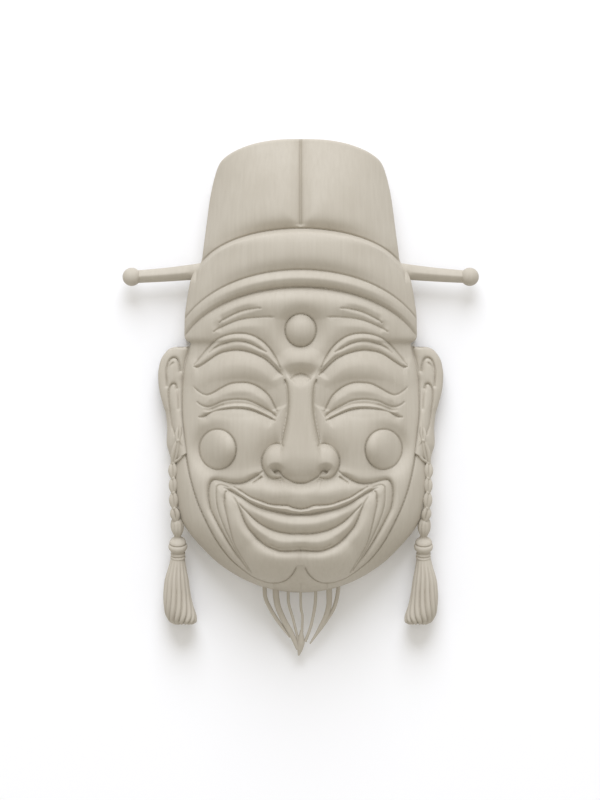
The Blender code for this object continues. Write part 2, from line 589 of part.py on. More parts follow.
def ring_stack(name, collection, rings, sides, depth=0.0):
    """A solid of level rings down the Y axis, each as (x, y, z, radius)."""
    turn = np.linspace(0.0, math.tau, sides, endpoint=False)
    reach = 1 - depth * (np.arange(sides) % 2)
    points = [
        (x + radius * r * math.cos(t), y, z + radius * r * math.sin(t))
        for x, y, z, radius in rings for r, t in zip(reach, turn)
    ]
    faces = [
        (i * sides + k, i * sides + (k + 1) % sides,
         (i + 1) * sides + (k + 1) % sides, (i + 1) * sides + k)
        for i in range(len(rings) - 1) for k in range(sides)
    ]
    last = (len(rings) - 1) * sides
    faces += [tuple(range(sides)), tuple(range(last, last + sides))]
    mesh = bpy.data.meshes.new(name)
    mesh.from_pydata(points, [], faces)
    return placed(mesh, np.array(points), collection)


def face_edge(y):
    """How far out the carved edge of the face lies at each height."""
    flank = through(FACE_EDGE)
    flank = flank[: int(flank[:, 1].argmin())]
    return np.interp(-y, -flank[:, 1], flank[:, 0])


def ear_cuts(a, y):
    """How far the ear's strokes roll down, and how deep they cut."""
    roll, cut = np.zeros_like(a), np.zeros_like(a)
    for depth, bank, spread, points in EAR_STROKES:
        distance = near_line(a, y, through(points), 9.0)[0]
        rolled = bank * np.exp(-((distance / spread) ** BANK_POWER))
        roll = (roll**3 + rolled**3) ** (1 / 3)
        cut = np.maximum(cut, depth * np.exp(-((distance / CUT_WIDTH) ** 2)))
    return roll, cut


def ear_height(a, y):
    inner, outer = face_edge(y), half_width(EAR_EDGE, y)
    share = np.clip((a - inner) / np.maximum(outer - inner, 1e-3), 0.0, 1.0)
    # flush with the head along the edge of the face, and lower at the ear's edge
    flush = smooth_form(inner + 0.8, y)[0] - FACE_STEP
    height = flush + (EAR_SEAT - flush) * share + EAR_SWELL * np.sin(math.pi * share**0.7)
    roll, cut = ear_cuts(a, y)
    border = near_line(a, y, through(EAR_EDGE, 8), 6.0)[0]
    inset = np.clip(1 - border / EAR_ROUND, 0.0, 1.0)
    height = height - roll - cut - EAR_ROUND * (1 - np.sqrt(1 - inset**2))
    # the lobe's foot rises towards the face
    foot = LOBE_FOOT + LOBE_RISE * np.clip(LOBE_SIDE - a, 0.0, 9.0)
    lobe = smooth((y - foot) / 3.0)
    return EAR_BACK + 1.0 + (height - EAR_BACK - 1.0) * lobe


def ear(name, collection, sign):
    """A grid whose rows run from inside the head to the ear's edge."""
    top, end = EAR_EDGE[0][1], EAR_EDGE[-1][1]
    mesh, points, foot = skirted_grid(name, EAR_COLUMNS, EAR_ROWS)
    y = top + (end - top) * (1 - points[:, 1]) / 2
    root = face_edge(y) - EAR_ROOT
    x = root + (half_width(EAR_EDGE, y) - root) * (1 + points[:, 0]) / 2
    z = np.where(foot, EAR_BACK, ear_height(x, y))
    return placed(mesh, np.stack([sign * x, y, z], 1), collection)


def side_pieces(helpers, sign):
    """The ear, the cord with its tassel, and the wing of one side."""
    side = "left" if sign < 0 else "right"
    turn = mirrored if sign < 0 else list
    ear("ear_" + side, helpers, sign)
    strand("lobe_ring_" + side, helpers, turn(LOBE_RING), LOBE_RADII, 4)
    # the braid swells between its links' places and draws in at each of them
    pulse = [LINK_NECK]
    for width in LINK_WIDTHS:
        pulse += [width, LINK_NECK]
    strand("braid_" + side, helpers, turn(LINK_PLACES), pulse, 6, BRAID_SPANS)
    pendant = [(sign * x, y, z, radius) for x, y, z, radius in PENDANT]
    ring_stack("pendant_" + side, helpers, pendant, PENDANT_SIDES)
    skirt = [(sign * x, y, TASSEL_LEVEL, radius) for y, x, radius in TASSEL]
    ring_stack("tassel_" + side, helpers, skirt, 2 * TASSEL_FLUTES, FLUTE_DEPTH)
    strand("wing_" + side, helpers, turn(WING), WING_RADII, 8)
    radius = WING_BALL_RADIUS
    ball("wing_ball_" + side, helpers, turn([WING_BALL])[0], (radius,) * 3)


def fitted(obj, kind, **settings):
    modifier = obj.modifiers.new(kind.title(), kind)
    for name, value in settings.items():
        setattr(modifier, name, value)
    return modifier


def build():
    for obj in list(bpy.data.objects):
        bpy.data.objects.remove(obj)
    scene = bpy.context.scene
    shown = bpy.data.collections.new("hahoe mask")
    helpers = bpy.data.collections.new("shaping pieces")
    cutters = bpy.data.collections.new("cutters")
    added = bpy.data.collections.new("joined pieces")
    for collection in (shown, helpers):
        scene.collection.children.link(collection)
    helpers.children.link(cutters)
    helpers.children.link(added)
    helpers.hide_render = True

    box = (HALF_WIDTH, CHIN_END - MARGIN, HAT_TOP + MARGIN)
    mask = surface_block(NODE, shown, box, GRID_STEP, front_height, -2 * MARGIN)
    fitted(mask, "DECIMATE", ratio=FRONT_SHARE)
    outline = prism("outline", cutters, OUTLINE, 0.0, OVER_ALL)
    fitted(mask, "BOOLEAN", operation="INTERSECT", solver="EXACT", object=outline)
    box = (CAVITY_HALF, CAVITY_OUTLINE[-1][1] - MARGIN, CAVITY_OUTLINE[0][1] + MARGIN)
    cavity = surface_block("cavity", cutters, box, CAVITY_STEP, cavity_height, -3 * MARGIN)
    rim = prism("cavity_rim", cutters, through(CAVITY_OUTLINE, 2), -2 * MARGIN, OVER_ALL)
    fitted(cavity, "BOOLEAN", operation="INTERSECT", solver="EXACT", object=rim)
    fitted(mask, "BOOLEAN", operation="DIFFERENCE", solver="EXACT", object=cavity)

    for sign in (-1, 1):
        side_pieces(added, sign)
    for number, (points, radii) in enumerate(BEARD):
        strand(f"beard_{number}", added, points, radii, 6)
    fitted(mask, "BOOLEAN", operation="UNION", solver="EXACT",
           operand_type="COLLECTION", collection=added, use_self=True)
    for helper in helpers.all_objects:
        helper.hide_render = True
        helper.display_type = "WIRE"

    carved = bpy.data.materials.new("carved_wood")
    carved.use_nodes = True
    shader = carved.node_tree.nodes["Principled BSDF"]
    shader.inputs["Base Color"].default_value = (*COAT, 1.0)
    shader.inputs["Roughness"].default_value = 0.75
    carved.diffuse_color = (*COAT, 1.0)
    mask.data.materials.append(carved)
    mask.data.shade_smooth()
    mask.data.set_sharp_from_angle(angle=SHARP_ANGLE)


build()
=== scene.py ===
"""Looks of the hahoe mask: the carved surface, its finish, the light and the camera.

Forms are written in millimetres in the part's own frame, X across the face, +Y
to the top of the hat and Z out of the face, and are placed in metres. Each form
of one side is worked out at a, its distance from the middle, and mirrored.
"""

import math

import bmesh
import bpy
import numpy as np
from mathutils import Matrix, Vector


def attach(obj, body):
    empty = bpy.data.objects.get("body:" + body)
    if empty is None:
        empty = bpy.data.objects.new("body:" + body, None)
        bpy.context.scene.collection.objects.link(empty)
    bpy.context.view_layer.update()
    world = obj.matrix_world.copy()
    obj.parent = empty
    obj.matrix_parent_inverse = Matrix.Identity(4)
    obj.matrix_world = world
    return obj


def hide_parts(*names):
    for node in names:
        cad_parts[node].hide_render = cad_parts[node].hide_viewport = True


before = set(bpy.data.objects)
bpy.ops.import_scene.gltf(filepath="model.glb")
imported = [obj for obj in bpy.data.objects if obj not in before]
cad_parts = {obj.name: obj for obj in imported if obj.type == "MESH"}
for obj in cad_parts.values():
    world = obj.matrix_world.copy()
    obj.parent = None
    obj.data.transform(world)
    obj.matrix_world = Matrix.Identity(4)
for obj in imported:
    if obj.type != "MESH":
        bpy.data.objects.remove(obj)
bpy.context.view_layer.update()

MM = 0.001
NODE = "hahoe_mask"

# Overall sizes
EDGE_HEIGHT = 20.0
CROWN_EDGE = 18.0
EDGE_ROUND = 1.6
EDGE_MARGIN = 0.5
EDGE_SINK = 0.9
SHELL = 11.5
CAVITY_BRINK = 5.0
CAVITY_END = 25.0
CAVITY_END_POWER = 0.6

# The mesh: its steps, the widths its columns are counted over, the rows down
# the side wall, and the share of the faces that is kept
FINE_STEP = 0.42
HOLLOW_STEP = 2.5 * FINE_STEP
SHELL_SHARE = 0.22
HEAD_REACH = 86.0
HOLLOW_REACH = 77.0
TIP_WIDTH = 0.05
WALL_ROWS = 7
WELD = 1e-6
DEGENERATE = 1e-7

# A length that keeps a divisor above zero, and one that is past every form
TINY = 1e-3
FAR = 1e3

# Hat lines: each an ellipse arc given by its top, its half width and its drop
CROWN_LINE = (111.8, 70.2, 33.3)
BAND_LINE = (84.5, 86.2, 58.0)
BRIM_LINE = (73.0, 83.2, 51.8)
ARC_TURN = 1.35
ARC_LIMIT = 0.985

# Half width of the whole head against height, from the hat's top to the chin
OUTLINE = [
    (0.0, 171.6), (16.5, 170.8), (29.7, 168.6), (39.6, 165.4), (46.5, 162.0),
    (51.4, 158.4), (54.3, 154.4), (56.4, 148.8), (58.3, 141.8), (60.4, 131.2),
    (62.9, 112.2), (64.8, 97.7), (65.7, 91.7), (67.5, 88.2), (70.5, 84.5),
    (72.8, 79.2), (74.4, 71.9), (75.8, 63.4), (76.9, 55.4), (77.1, 47.5),
    (77.1, 40.9), (75.9, 38.3), (74.0, 37.0), (73.2, 36.0), (73.9, 33.0),
    (75.9, 26.4), (78.2, 17.2), (80.5, 4.0), (82.8, -11.2), (84.8, -27.7),
    (86.0, -42.2), (86.2, -54.1), (84.3, -66.0), (80.4, -78.5), (74.3, -89.1),
    (66.2, -98.5), (55.6, -108.9), (43.6, -117.2), (31.7, -123.1),
    (19.8, -126.9), (9.2, -128.8), (0.0, -129.3),
]
CAVITY_OUTLINE = [
    (0.0, 161.5), (28.0, 158.0), (43.0, 149.0), (50.0, 135.0), (54.0, 105.0),
    (60.0, 80.0), (65.0, 55.0), (66.0, 25.0), (71.0, 0.0), (76.0, -30.0),
    (77.0, -52.0), (73.0, -72.0), (62.0, -90.0), (44.0, -106.0),
    (24.0, -116.0), (0.0, -120.0),
]

# Height along the middle of the smooth form under the carving, as (Y, height)
CROWN_HEIGHT = [
    (176.0, 31.5), (170.7, 33.5), (157.0, 39.5), (144.0, 44.5), (131.0, 48.0),
    (120.0, 49.8), (111.5, 50.5), (91.0, 51.5), (65.0, 52.0),
]
HEAD_HEIGHT = [
    (121.0, 53.0), (111.5, 54.6), (101.0, 57.8), (85.0, 58.5), (72.0, 58.0),
    (58.0, 57.0), (38.0, 55.5), (16.0, 54.0), (-1.0, 53.5), (-28.0, 53.5),
    (-54.0, 54.0), (-71.0, 54.7), (-87.0, 54.8), (-100.0, 52.8),
    (-110.0, 46.8), (-118.0, 39.5), (-124.0, 32.0), (-127.5, 25.0),
    (-129.3, 20.0),
]
# Half the width of the crown's section, and of the head's under the hat
CROWN_HALF = [(145.0, 59.5), (120.0, 62.5), (100.0, 66.0)]
HAT_FOOT = 60.0
HAT_HALF = [(105.0, 65.5), (95.0, 66.5), (85.0, 69.8), (72.0, 73.9), (60.0, 76.3)]
HEAD_FULLNESS = 3.2
CROWN_FULLNESS = 2.6
CAVITY_FULLNESS = 2.4

# How far the hat stands over the face, and the face over the rest of the head
HAT_STEP = 1.6
FACE_STEP = 1.6
STEP_WIDTH = 3.0

# Soft mounds and hollows: centre X and Y, radii across and up, height
MOUNDS = {
    "forehead": (0.0, 62.0, 50.0, 11.0, 2.5),
    "brow": (44.9, 17.8, 38.0, 17.0, 3.5),
    "eyeball": (41.6, 0.0, 29.0, 13.0, 3.0),
    "cheek": (42.0, -23.0, 32.0, 25.0, 4.0),
    "frown": (0.0, 24.0, 17.0, 10.5, 2.8),
    "nose_dip": (0.0, 17.8, 13.0, 6.0, -1.2),
    "upper_lip": (0.0, -64.0, 52.0, 13.0, 4.5),
    "nostril": (16.6, -47.4, 6.2, 5.2, -3.4),
    "teeth": (0.0, -84.0, 50.0, 19.0, 2.8),
    "chin_lobe": (18.5, -110.9, 24.0, 20.0, 4.5),
}
MOUND_POWER = 1.5

# The nose: height and half width of its ridge against Y, then its wing
RIDGE_HEIGHT = [
    (21.0, 0.0), (16.0, 0.4), (13.0, 2.2), (9.5, 4.2), (5.0, 5.2), (-8.0, 6.0),
    (-20.0, 7.0), (-32.0, 8.2), (-38.0, 8.6), (-42.0, 8.2), (-46.0, 7.1),
    (-49.0, 5.8), (-52.0, 4.2), (-54.5, 2.5), (-56.2, 1.0), (-58.0, 0.0),
]
RIDGE_WIDTH = [
    (21.0, 8.6), (12.0, 10.2), (-1.0, 9.2), (-11.0, 9.5), (-21.0, 11.2),
    (-30.0, 13.2), (-38.0, 15.2), (-45.0, 15.8), (-51.0, 14.4), (-55.0, 11.5),
    (-60.0, 9.0),
]
RIDGE_FULLNESS = 6.0
NOSE_WING = (15.4, -42.2, 10.2, 12.2, 6.4)
WING_POWER = 0.8
NOSE_MELT = 3.5

# Round bosses: centre X and Y, radii across and up, and how much the dome is
# stronger towards the nose and the dish round it away from the nose
BOSSES = {
    "forehead_dot": (0.0, 44.6, 10.2, 10.8, 0.0),
    "cheek_dot": (54.8, -33.9, 12.3, 13.2, 0.8),
}
BOSS_HEIGHT = 5.2
DISH_DEPTH = 3.6
DISH_WIDTH = 5.5
DOME_POWER = 2.2
DISH_POWER = 1.6

# Carved strokes. Each holds its cut depth, the depth its banks roll down, how
# wide the banks are on its outer or upper side and on the other, how much of
# either end fades out, then the points it runs through.
STROKES = {
    "wrinkle_upper": (0.9, 2.4, 3.6, 2.6, 0.15, 0.40,
        [(54.1, 49.2), (50.2, 52.1), (39.6, 57.1), (30.5, 58.9), (25.0, 59.0)]),
    "wrinkle_lower": (0.9, 2.8, 3.6, 4.6, 0.15, 0.55,
        [(58.1, 43.2), (52.8, 46.5), (39.6, 51.7), (25.1, 53.3), (15.8, 53.1)]),
    "brow_upper": (1.0, 2.2, 4.6, 2.2, 0.08, 0.12,
        [(71.3, 21.1), (60.7, 33.7), (54.8, 38.9), (47.5, 41.8), (39.6, 42.6),
         (32.3, 41.4), (25.7, 37.8), (20.5, 32.7), (16.5, 26.4), (13.2, 19.1)]),
    "brow_middle": (0.9, 1.4, 1.8, 1.8, 0.15, 0.15,
        [(61.4, 29.4), (56.8, 32.9), (51.5, 35.6), (44.9, 37.4), (38.3, 37.3),
         (31.7, 35.2), (21.8, 29.7)]),
    "brow_lower": (1.0, 2.8, 2.0, 5.2, 0.05, 0.06,
        [(71.3, 20.8), (66.7, 21.1), (54.8, 28.7), (48.2, 30.9), (40.9, 31.5),
         (33.7, 30.2), (27.1, 27.7), (21.1, 23.8), (11.6, 14.5)]),
    "brow_fine": (0.5, 0.5, 1.0, 1.0, 0.30, 0.30,
        [(25.1, 28.1), (20.5, 25.1), (13.2, 17.5)]),
    "lid_fold": (1.0, 3.4, 6.0, 3.6, 0.45, 0.04,
        [(72.3, 8.9), (68.6, 5.3), (64.0, 2.4), (59.4, 2.6), (48.2, 8.6),
         (41.6, 10.0), (35.0, 9.9), (29.0, 7.9), (23.8, 4.3), (19.8, -0.3),
         (15.5, -9.2)]),
    "lid_valley": (0.0, 3.4, 5.0, 1.4, 0.15, 0.04,
        [(66.0, -7.0), (61.0, -8.2), (57.0, -7.3), (51.5, -5.0), (44.9, -3.8),
         (38.3, -3.7), (31.7, -4.8), (20.5, -9.9), (15.8, -13.2)]),
    "lid_edge": (0.9, 0.8, 1.6, 1.0, 0.15, 0.03,
        [(69.3, -2.0), (66.0, -4.5), (62.0, -5.8), (57.4, -4.8), (51.5, -2.2),
         (44.9, -1.0), (38.3, -1.0), (31.7, -2.6), (20.5, -8.6), (15.8, -12.5)]),
    "lid_fine": (0.5, 0.4, 1.0, 1.0, 0.30, 0.40,
        [(59.4, -7.5), (54.8, -5.6), (50.2, -4.2)]),
    "lower_lid": (0.9, 2.6, 1.6, 3.8, 0.10, 0.06,
        [(68.0, -12.7), (64.0, -12.2), (58.1, -9.2), (51.5, -7.5),
         (43.6, -6.7), (36.3, -7.1), (29.7, -8.8), (18.8, -13.9),
         (16.4, -15.4)]),
    "bridge_side": (1.0, 1.0, 2.4, 2.4, 0.08, 0.12,
        [(10.6, 12.5), (8.9, 7.9), (8.1, 0.7), (8.2, -7.9), (9.6, -17.2),
         (11.6, -25.7), (12.3, -29.5), (11.2, -32.6)]),
    "nose_root": (0.9, 3.4, 5.5, 4.2, 0.30, 0.0,
        [(6.9, 12.2), (3.6, 14.7), (0.0, 15.8)]),
    "nose_wing": (1.0, 2.6, 2.4, 6.0, 0.06, 0.05,
        [(12.8, -30.6), (16.5, -30.4), (19.8, -32.0), (22.9, -34.8),
         (24.9, -38.4), (25.6, -42.3), (24.9, -46.0), (23.2, -49.3),
         (21.1, -51.5), (18.5, -52.8), (15.8, -53.0), (12.5, -52.4)]),
    "nose_base": (1.1, 2.6, 3.4, 4.4, 0.04, 0.0,
        [(17.8, -49.4), (15.8, -47.9), (13.9, -48.2), (12.5, -50.2),
         (10.6, -52.1), (7.9, -53.8), (5.3, -55.1), (2.6, -55.9), (0.0, -56.1)]),
    "smile_fold": (0.9, 3.4, 5.8, 2.0, 0.06, 0.15,
        [(24.1, -47.8), (30.4, -52.0), (37.6, -55.7), (45.5, -56.1),
         (52.8, -54.3), (57.4, -54.0), (59.9, -56.8), (60.9, -62.7),
         (60.1, -70.6), (57.4, -77.9), (46.2, -97.7), (33.0, -115.5)]),
    "fold_middle": (0.9, 1.4, 1.8, 1.8, 0.12, 0.10,
        [(46.9, -59.3), (51.5, -57.6), (54.5, -57.8), (55.7, -60.7),
         (54.8, -72.6), (49.2, -87.8), (40.3, -104.9), (33.7, -113.9)]),
    "fold_inner": (0.9, 1.8, 1.8, 3.0, 0.10, 0.05,
        [(48.2, -61.1), (49.8, -62.7), (50.2, -66.7), (49.8, -72.6),
         (44.6, -93.7), (41.2, -101.3), (32.3, -115.8)]),
    "lip_small": (1.0, 2.2, 1.2, 1.8, 0.12, 0.2,
        [(25.1, -51.7), (28.4, -54.1), (32.0, -56.4)]),
    "lip_top": (0.9, 3.8, 5.6, 1.6, 0.15, 0.0,
        [(44.9, -58.1), (38.9, -61.7), (33.0, -65.3), (26.4, -67.8),
         (19.8, -70.0), (13.2, -70.6), (8.6, -70.8), (4.6, -72.3), (0.0, -73.1)]),
    "lip_edge": (0.9, 4.2, 2.0, 4.4, 0.12, 0.0,
        [(51.5, -58.6), (44.9, -61.9), (38.9, -65.3), (33.0, -69.0),
         (26.4, -71.9), (19.8, -73.8), (13.2, -75.2), (6.6, -76.4), (0.0, -76.8)]),
    "teeth_edge": (1.0, 5.0, 4.6, 3.6, 0.40, 0.0,
        [(41.6, -68.4), (38.6, -71.9), (35.2, -75.2), (31.5, -78.9),
         (26.4, -83.0), (19.8, -86.4), (13.2, -88.4), (6.6, -89.3), (0.0, -89.4)]),
    "lip_inner": (0.6, 0.6, 1.0, 1.0, 0.35, 0.0,
        [(20.5, -96.2), (15.8, -98.5), (11.2, -99.2), (5.3, -98.8), (0.0, -98.4)]),
    "lower_lip": (1.0, 4.4, 4.0, 2.8, 0.40, 0.0,
        [(45.9, -63.4), (42.2, -68.6), (39.6, -74.6), (37.6, -79.9),
         (35.0, -85.1), (31.7, -89.1), (27.7, -93.4), (23.1, -97.0),
         (18.5, -99.2), (13.2, -100.7), (6.6, -100.8), (0.0, -100.3)]),
}
FACE_EDGE = [
    (74.6, 31.7), (76.9, 23.8), (78.2, 14.5), (78.9, -7.9), (75.8, -37.6),
    (72.9, -52.8), (68.6, -67.0), (62.7, -80.5), (54.8, -95.0), (45.5, -106.9),
    (33.3, -116.8), (25.1, -120.8), (17.8, -122.1), (11.2, -120.8),
    (5.9, -116.5), (2.3, -110.2),
]
# The same fields for the hat's lines and for the carved edge of the face
HAT_STROKES = [
    (CROWN_LINE, (1.0, 5.0, 5.4, 2.2, 0.8, 0.0)),
    (BAND_LINE, (1.0, 4.8, 5.2, 4.0, 0.9, 0.0)),
    (BRIM_LINE, (0.8, 4.6, 4.4, 4.0, 0.6, 0.0)),
]
FACE_STROKE = (1.4, 1.0, 1.6, 2.0, 0.02, 0.08)
CUT_WIDTH = 0.6
# A cut keeps its full depth this many times nearer to its ends than the banks do
CUT_FADE = 6.0
BANK_POWER = 1.5
# Banks are worked out this many widths from a stroke, and melt where they meet
BANK_REACH = 3.2
BANK_MELT = 3
SEAM_BANK = 4.2
SEAM_WIDTH = 5.4
SEAM_CUT = 1.0
SEAM_CUT_WIDTH = 1.1
SEAM_FADE = 3.0

# Ears: plates between the carved edge of the face and this outer edge
EAR_EDGE = [
    (76.0, 34.3), (79.2, 33.8), (82.5, 34.1), (85.8, 33.4), (88.6, 31.8),
    (92.6, 26.4), (94.4, 19.8), (94.8, 13.9), (93.9, 4.6), (91.3, -5.3),
    (89.8, -9.9), (88.8, -19.1), (89.1, -27.7), (88.9, -31.7), (87.5, -36.3),
    (86.4, -40.3), (85.0, -46.0),
]
EAR_ROOT = 4.0
EAR_BACK = 6.0
EAR_SEAT = 14.0
EAR_SWELL = 3.0
EAR_SWELL_LEAN = 0.7
EAR_ROUND = 2.2
EAR_FLUSH = 0.8
EAR_THIN = 1.0
EAR_BORDER = 6.0
EAR_CUT_REACH = 9.0
EAR_COLUMNS_OVER = 18.0
LOBE_FOOT = -45.0
LOBE_SIDE = 85.0
LOBE_RISE = 0.6
LOBE_SPAN = 9.0
LOBE_FADE = 3.0
# Each holds its cut depth, its bank's depth and width, then its points
EAR_STROKES = [
    (1.2, 1.1, 1.6, [(88.8, 8.0), (89.3, 17.0), (88.2, 22.5), (86.6, 25.6),
                     (84.2, 26.8), (82.0, 25.6), (80.6, 22.0), (79.9, 18.0)]),
    (0.7, 0.7, 1.1, [(88.6, 16.5), (87.0, 21.0), (84.9, 23.2)]),
    (1.2, 1.2, 1.7, [(82.2, 6.5), (83.2, 9.0), (85.1, 9.3), (86.9, 7.0), (87.7, 3.0),
                     (87.5, -3.0), (86.7, -8.0), (86.2, -13.0), (85.2, -19.0), (83.4, -24.0)]),
    (0.5, 0.7, 1.2, [(82.2, 6.5), (81.4, 3.0), (81.0, -3.0), (81.0, -7.0)]),
]

# Cords of one side: links of two strands from the ear's lobe to the pendant,
# each between two of these places, and a thin ring round the lobe
LINK_PLACES = [
    (80.6, -19.2, 23.8), (81.3, -28.2, 24.6), (84.8, -43.1, 21.0), (84.7, -53.2, 21.0),
    (84.5, -62.8, 20.4), (84.0, -73.0, 19.4), (82.8, -81.4, 17.6),
]
LINK_BULGES = [(0.7, 1.2), (0.9, 1.5), (0.95, 1.8), (0.85, 1.7), (0.95, 1.8), (1.2, 1.75)]
# Each strand is this thick at its ends, and a knot lies between two links
LINK_NECK = 0.95
LINK_KNOT = 1.5
LINK_GAP = 0.4
LINK_CROSSING = 0.25
LINK_ROWS = 25
LOBE_RING = [
    (79.4, -28.6, 25.4), (77.6, -33.0, 25.4), (78.4, -37.6, 25.2), (80.8, -40.6, 23.6),
    (84.0, -42.6, 21.0),
]
LOBE_RING_RADII = [0.9, 1.0, 0.9]

# The pendant under the braid: places down its axis, then its rings' heights and radii
PENDANT_AXIS = [
    (82.5, -79.5, 15.6), (81.9, -88.0, 14.2), (81.7, -97.5, 12.6), (81.6, -107.0, 11.4),
]
PENDANT = [
    (-79.5, 2.0), (-80.6, 3.2), (-82.5, 4.1), (-85.5, 4.4), (-88.0, 4.0),
    (-90.2, 3.0), (-91.6, 2.3), (-92.6, 2.5), (-93.6, 4.0), (-94.8, 5.2),
    (-96.1, 5.6), (-96.8, 5.1), (-97.5, 6.0), (-98.8, 6.3), (-100.4, 5.8),
    (-101.6, 4.7), (-102.4, 4.3), (-103.0, 4.8), (-104.0, 4.8), (-104.6, 4.3),
    (-105.3, 4.9), (-106.2, 4.9), (-107.0, 4.2),
]
PENDANT_SHEAR = 0.26
RIB_COUNT = 8
RIB_TURN = 0.73
RIB_DEPTH = 0.15
RIB_POWER = 1.5
# Where the ribs begin and end down the pendant, and how far each takes to fade
RIB_BEGIN = (0.03, 0.08)
RIB_END = (0.42, 0.1)
PENDANT_SIDES = 64

# The tassel's skirt: height, middle and radius of its rings, top to bottom
TASSEL = [
    (-105.5, 81.7, 4.5), (-112.8, 82.1, 6.0), (-120.6, 82.5, 7.9), (-127.4, 82.4, 8.8),
    (-134.0, 81.9, 9.5), (-140.6, 80.7, 10.2), (-145.6, 79.2, 10.2), (-148.9, 78.2, 9.0),
    (-150.6, 77.8, 6.0),
]
TASSEL_LEVEL = 11.0
TASSEL_FLUTES = 14
FLUTE_DEPTH = 0.17
FLUTE_POWER = 1.4
FLUTE_FADE = 0.2
TASSEL_LEAN = 0.9
LEAN_BEGIN = 0.3
HEM_WAVE = 1.6
HEM_POWER = 6
TASSEL_SIDES = 210

# Wings: a rod of rounded diamond section from the hat's band to a ball
WING = [(66.0, 84.2, 12.5), (74.0, 83.5, 12.5), (90.0, 82.0, 12.5), (110.0, 80.6, 12.5)]
WING_RADII = [5.6, 5.1, 4.6, 4.2]
WING_FLAT = 0.9
WING_BALL = (112.4, 80.6, 12.5)
WING_BALL_RADIUS = 6.1
DIAMOND_POWER = 1.35
DIAMOND_BEGIN = 0.22
DIAMOND_FADE = 0.2

# Beard: each strand's course from under the chin, and its radii down it
BEARD_FLAT = 0.85
BEARD = [
    ([(-24.1, -119.0, 15.0), (-24.0, -125.5, 15.0), (-23.3, -133.0, 14.4), (-20.4, -139.6, 13.6),
      (-16.5, -146.2, 12.6), (-12.1, -152.4, 11.6), (-7.2, -159.2, 10.6)],
     [1.3, 1.4, 1.3, 1.3, 1.2, 0.5]),
    ([(-16.6, -121.0, 16.0), (-16.6, -128.0, 15.8), (-15.4, -137.5, 14.6), (-11.6, -147.0, 13.0),
      (-5.8, -157.5, 11.2), (-1.6, -167.0, 9.4)], [1.9, 2.1, 2.0, 1.9, 1.5]),
    ([(-8.3, -122.0, 16.4), (-8.3, -130.0, 15.6), (-7.9, -137.0, 14.8), (-5.4, -145.5, 13.4),
      (-3.2, -154.5, 11.8), (-1.2, -162.5, 10.2)], [0.9, 1.0, 0.9, 0.9]),
    ([(0.0, -120.0, 17.0), (0.0, -130.0, 15.8), (0.2, -139.5, 14.4), (1.2, -145.0, 13.4),
      (1.0, -153.0, 12.0), (0.6, -162.0, 10.2)], [0.8, 0.9, 0.8, 0.9]),
    ([(9.9, -121.5, 16.4), (10.0, -129.0, 15.8), (9.6, -137.0, 14.8), (8.2, -145.5, 13.4),
      (6.2, -153.5, 12.0), (3.0, -162.0, 10.4)], [0.9, 1.1, 1.0, 1.0]),
    ([(18.8, -120.0, 16.0), (18.9, -128.5, 15.8), (18.8, -137.5, 14.6), (16.6, -145.5, 13.4),
      (12.2, -154.0, 12.0), (6.2, -163.4, 10.6)], [1.8, 1.9, 1.8, 1.5, 0.5]),
    ([(25.2, -118.5, 15.0), (25.0, -126.0, 15.0), (24.0, -133.0, 14.4), (21.8, -140.0, 13.6),
      (17.4, -147.5, 12.6), (12.2, -155.0, 11.6), (7.0, -162.4, 10.6)],
     [1.2, 1.3, 1.3, 1.2, 1.0, 0.5]),
    ([(0.5, -154.0, 11.6), (0.4, -158.5, 11.0), (0.2, -163.0, 10.2), (-0.5, -167.4, 9.2),
      (-1.4, -171.4, 8.4)], [0.6, 1.9, 2.5, 1.8, 0.5]),
]

# Colours of the coat, of the grain that shows through it, and of the painted shade in its cuts
COAT_LIGHT = (0.505, 0.464, 0.389)
COAT_DARK = (0.470, 0.428, 0.354)
GRAIN_DARK = (0.385, 0.345, 0.275)
PAINTED_CUT_SHADE = (0.30, 0.265, 0.20)
# Each noise has its scale per metre, detail, stretch along each axis and roughness
GRAIN_NOISE = (520.0, 4.0, (1.0, 0.035, 0.6), 0.62)
MOTTLE_NOISE = (22.0, 4.0)
SPECK_NOISE = (1500.0, 2.0)
TOOL_NOISE = (90.0, 2.0, (1.0, 0.5, 1.0))
# Each ramp turns the first two values into the last two
MOTTLE_RAMP = (0.35, 0.65, 0.0, 1.0)
GRAIN_RAMP = (0.38, 0.68, 0.0, 0.24)
# the ramp from a cut's stored depth to how much painted shade colour is blended in
PAINTED_CUT_SHADE_RAMP = (0.1, 0.8, 0.0, 0.5)
ROUGH_RAMP = (0.3, 0.7, 0.62, 0.8)
COAT_SHINE = 0.32
BUMP_STRENGTH = 0.25
PORE_DEPTH = 0.25
TOOL_DEPTH = 0.6
# How strongly the painted shade darkens a level cut, and the least upward slope of what gets
# painted shade
LEVEL_CUT_SHADE = 0.15
OUTWARD = 0.2

# The picture covers this height of the plane at mid depth, from above
VIEW_HEIGHT = 528.0
VIEW_PLANE = 40.0
VIEW_LENS = 250.0
SENSOR = 36.0
VIEW_CENTRE = (-0.45, -1.3)
CLIP_END = 100.0

FLOOR_REACH = 12000.0
FLOOR_DROP = 0.2
FLOOR_GREY = 0.93
FLOOR_ROUGH = 0.9
SKY_STRENGTH = 0.71
SKY_COLOUR = (1.0, 0.975, 0.93)
# Place, width, power and tint
KEY_LIGHT = ((0.0, 3700.0, 2560.0), 3400.0, 178.0, (0.93, 0.97, 1.08))


def smooth(t):
    """Eases from zero to one as t goes from zero to one."""
    t = np.clip(t, 0.0, 1.0)
    return t * t * (3.0 - 2.0 * t)


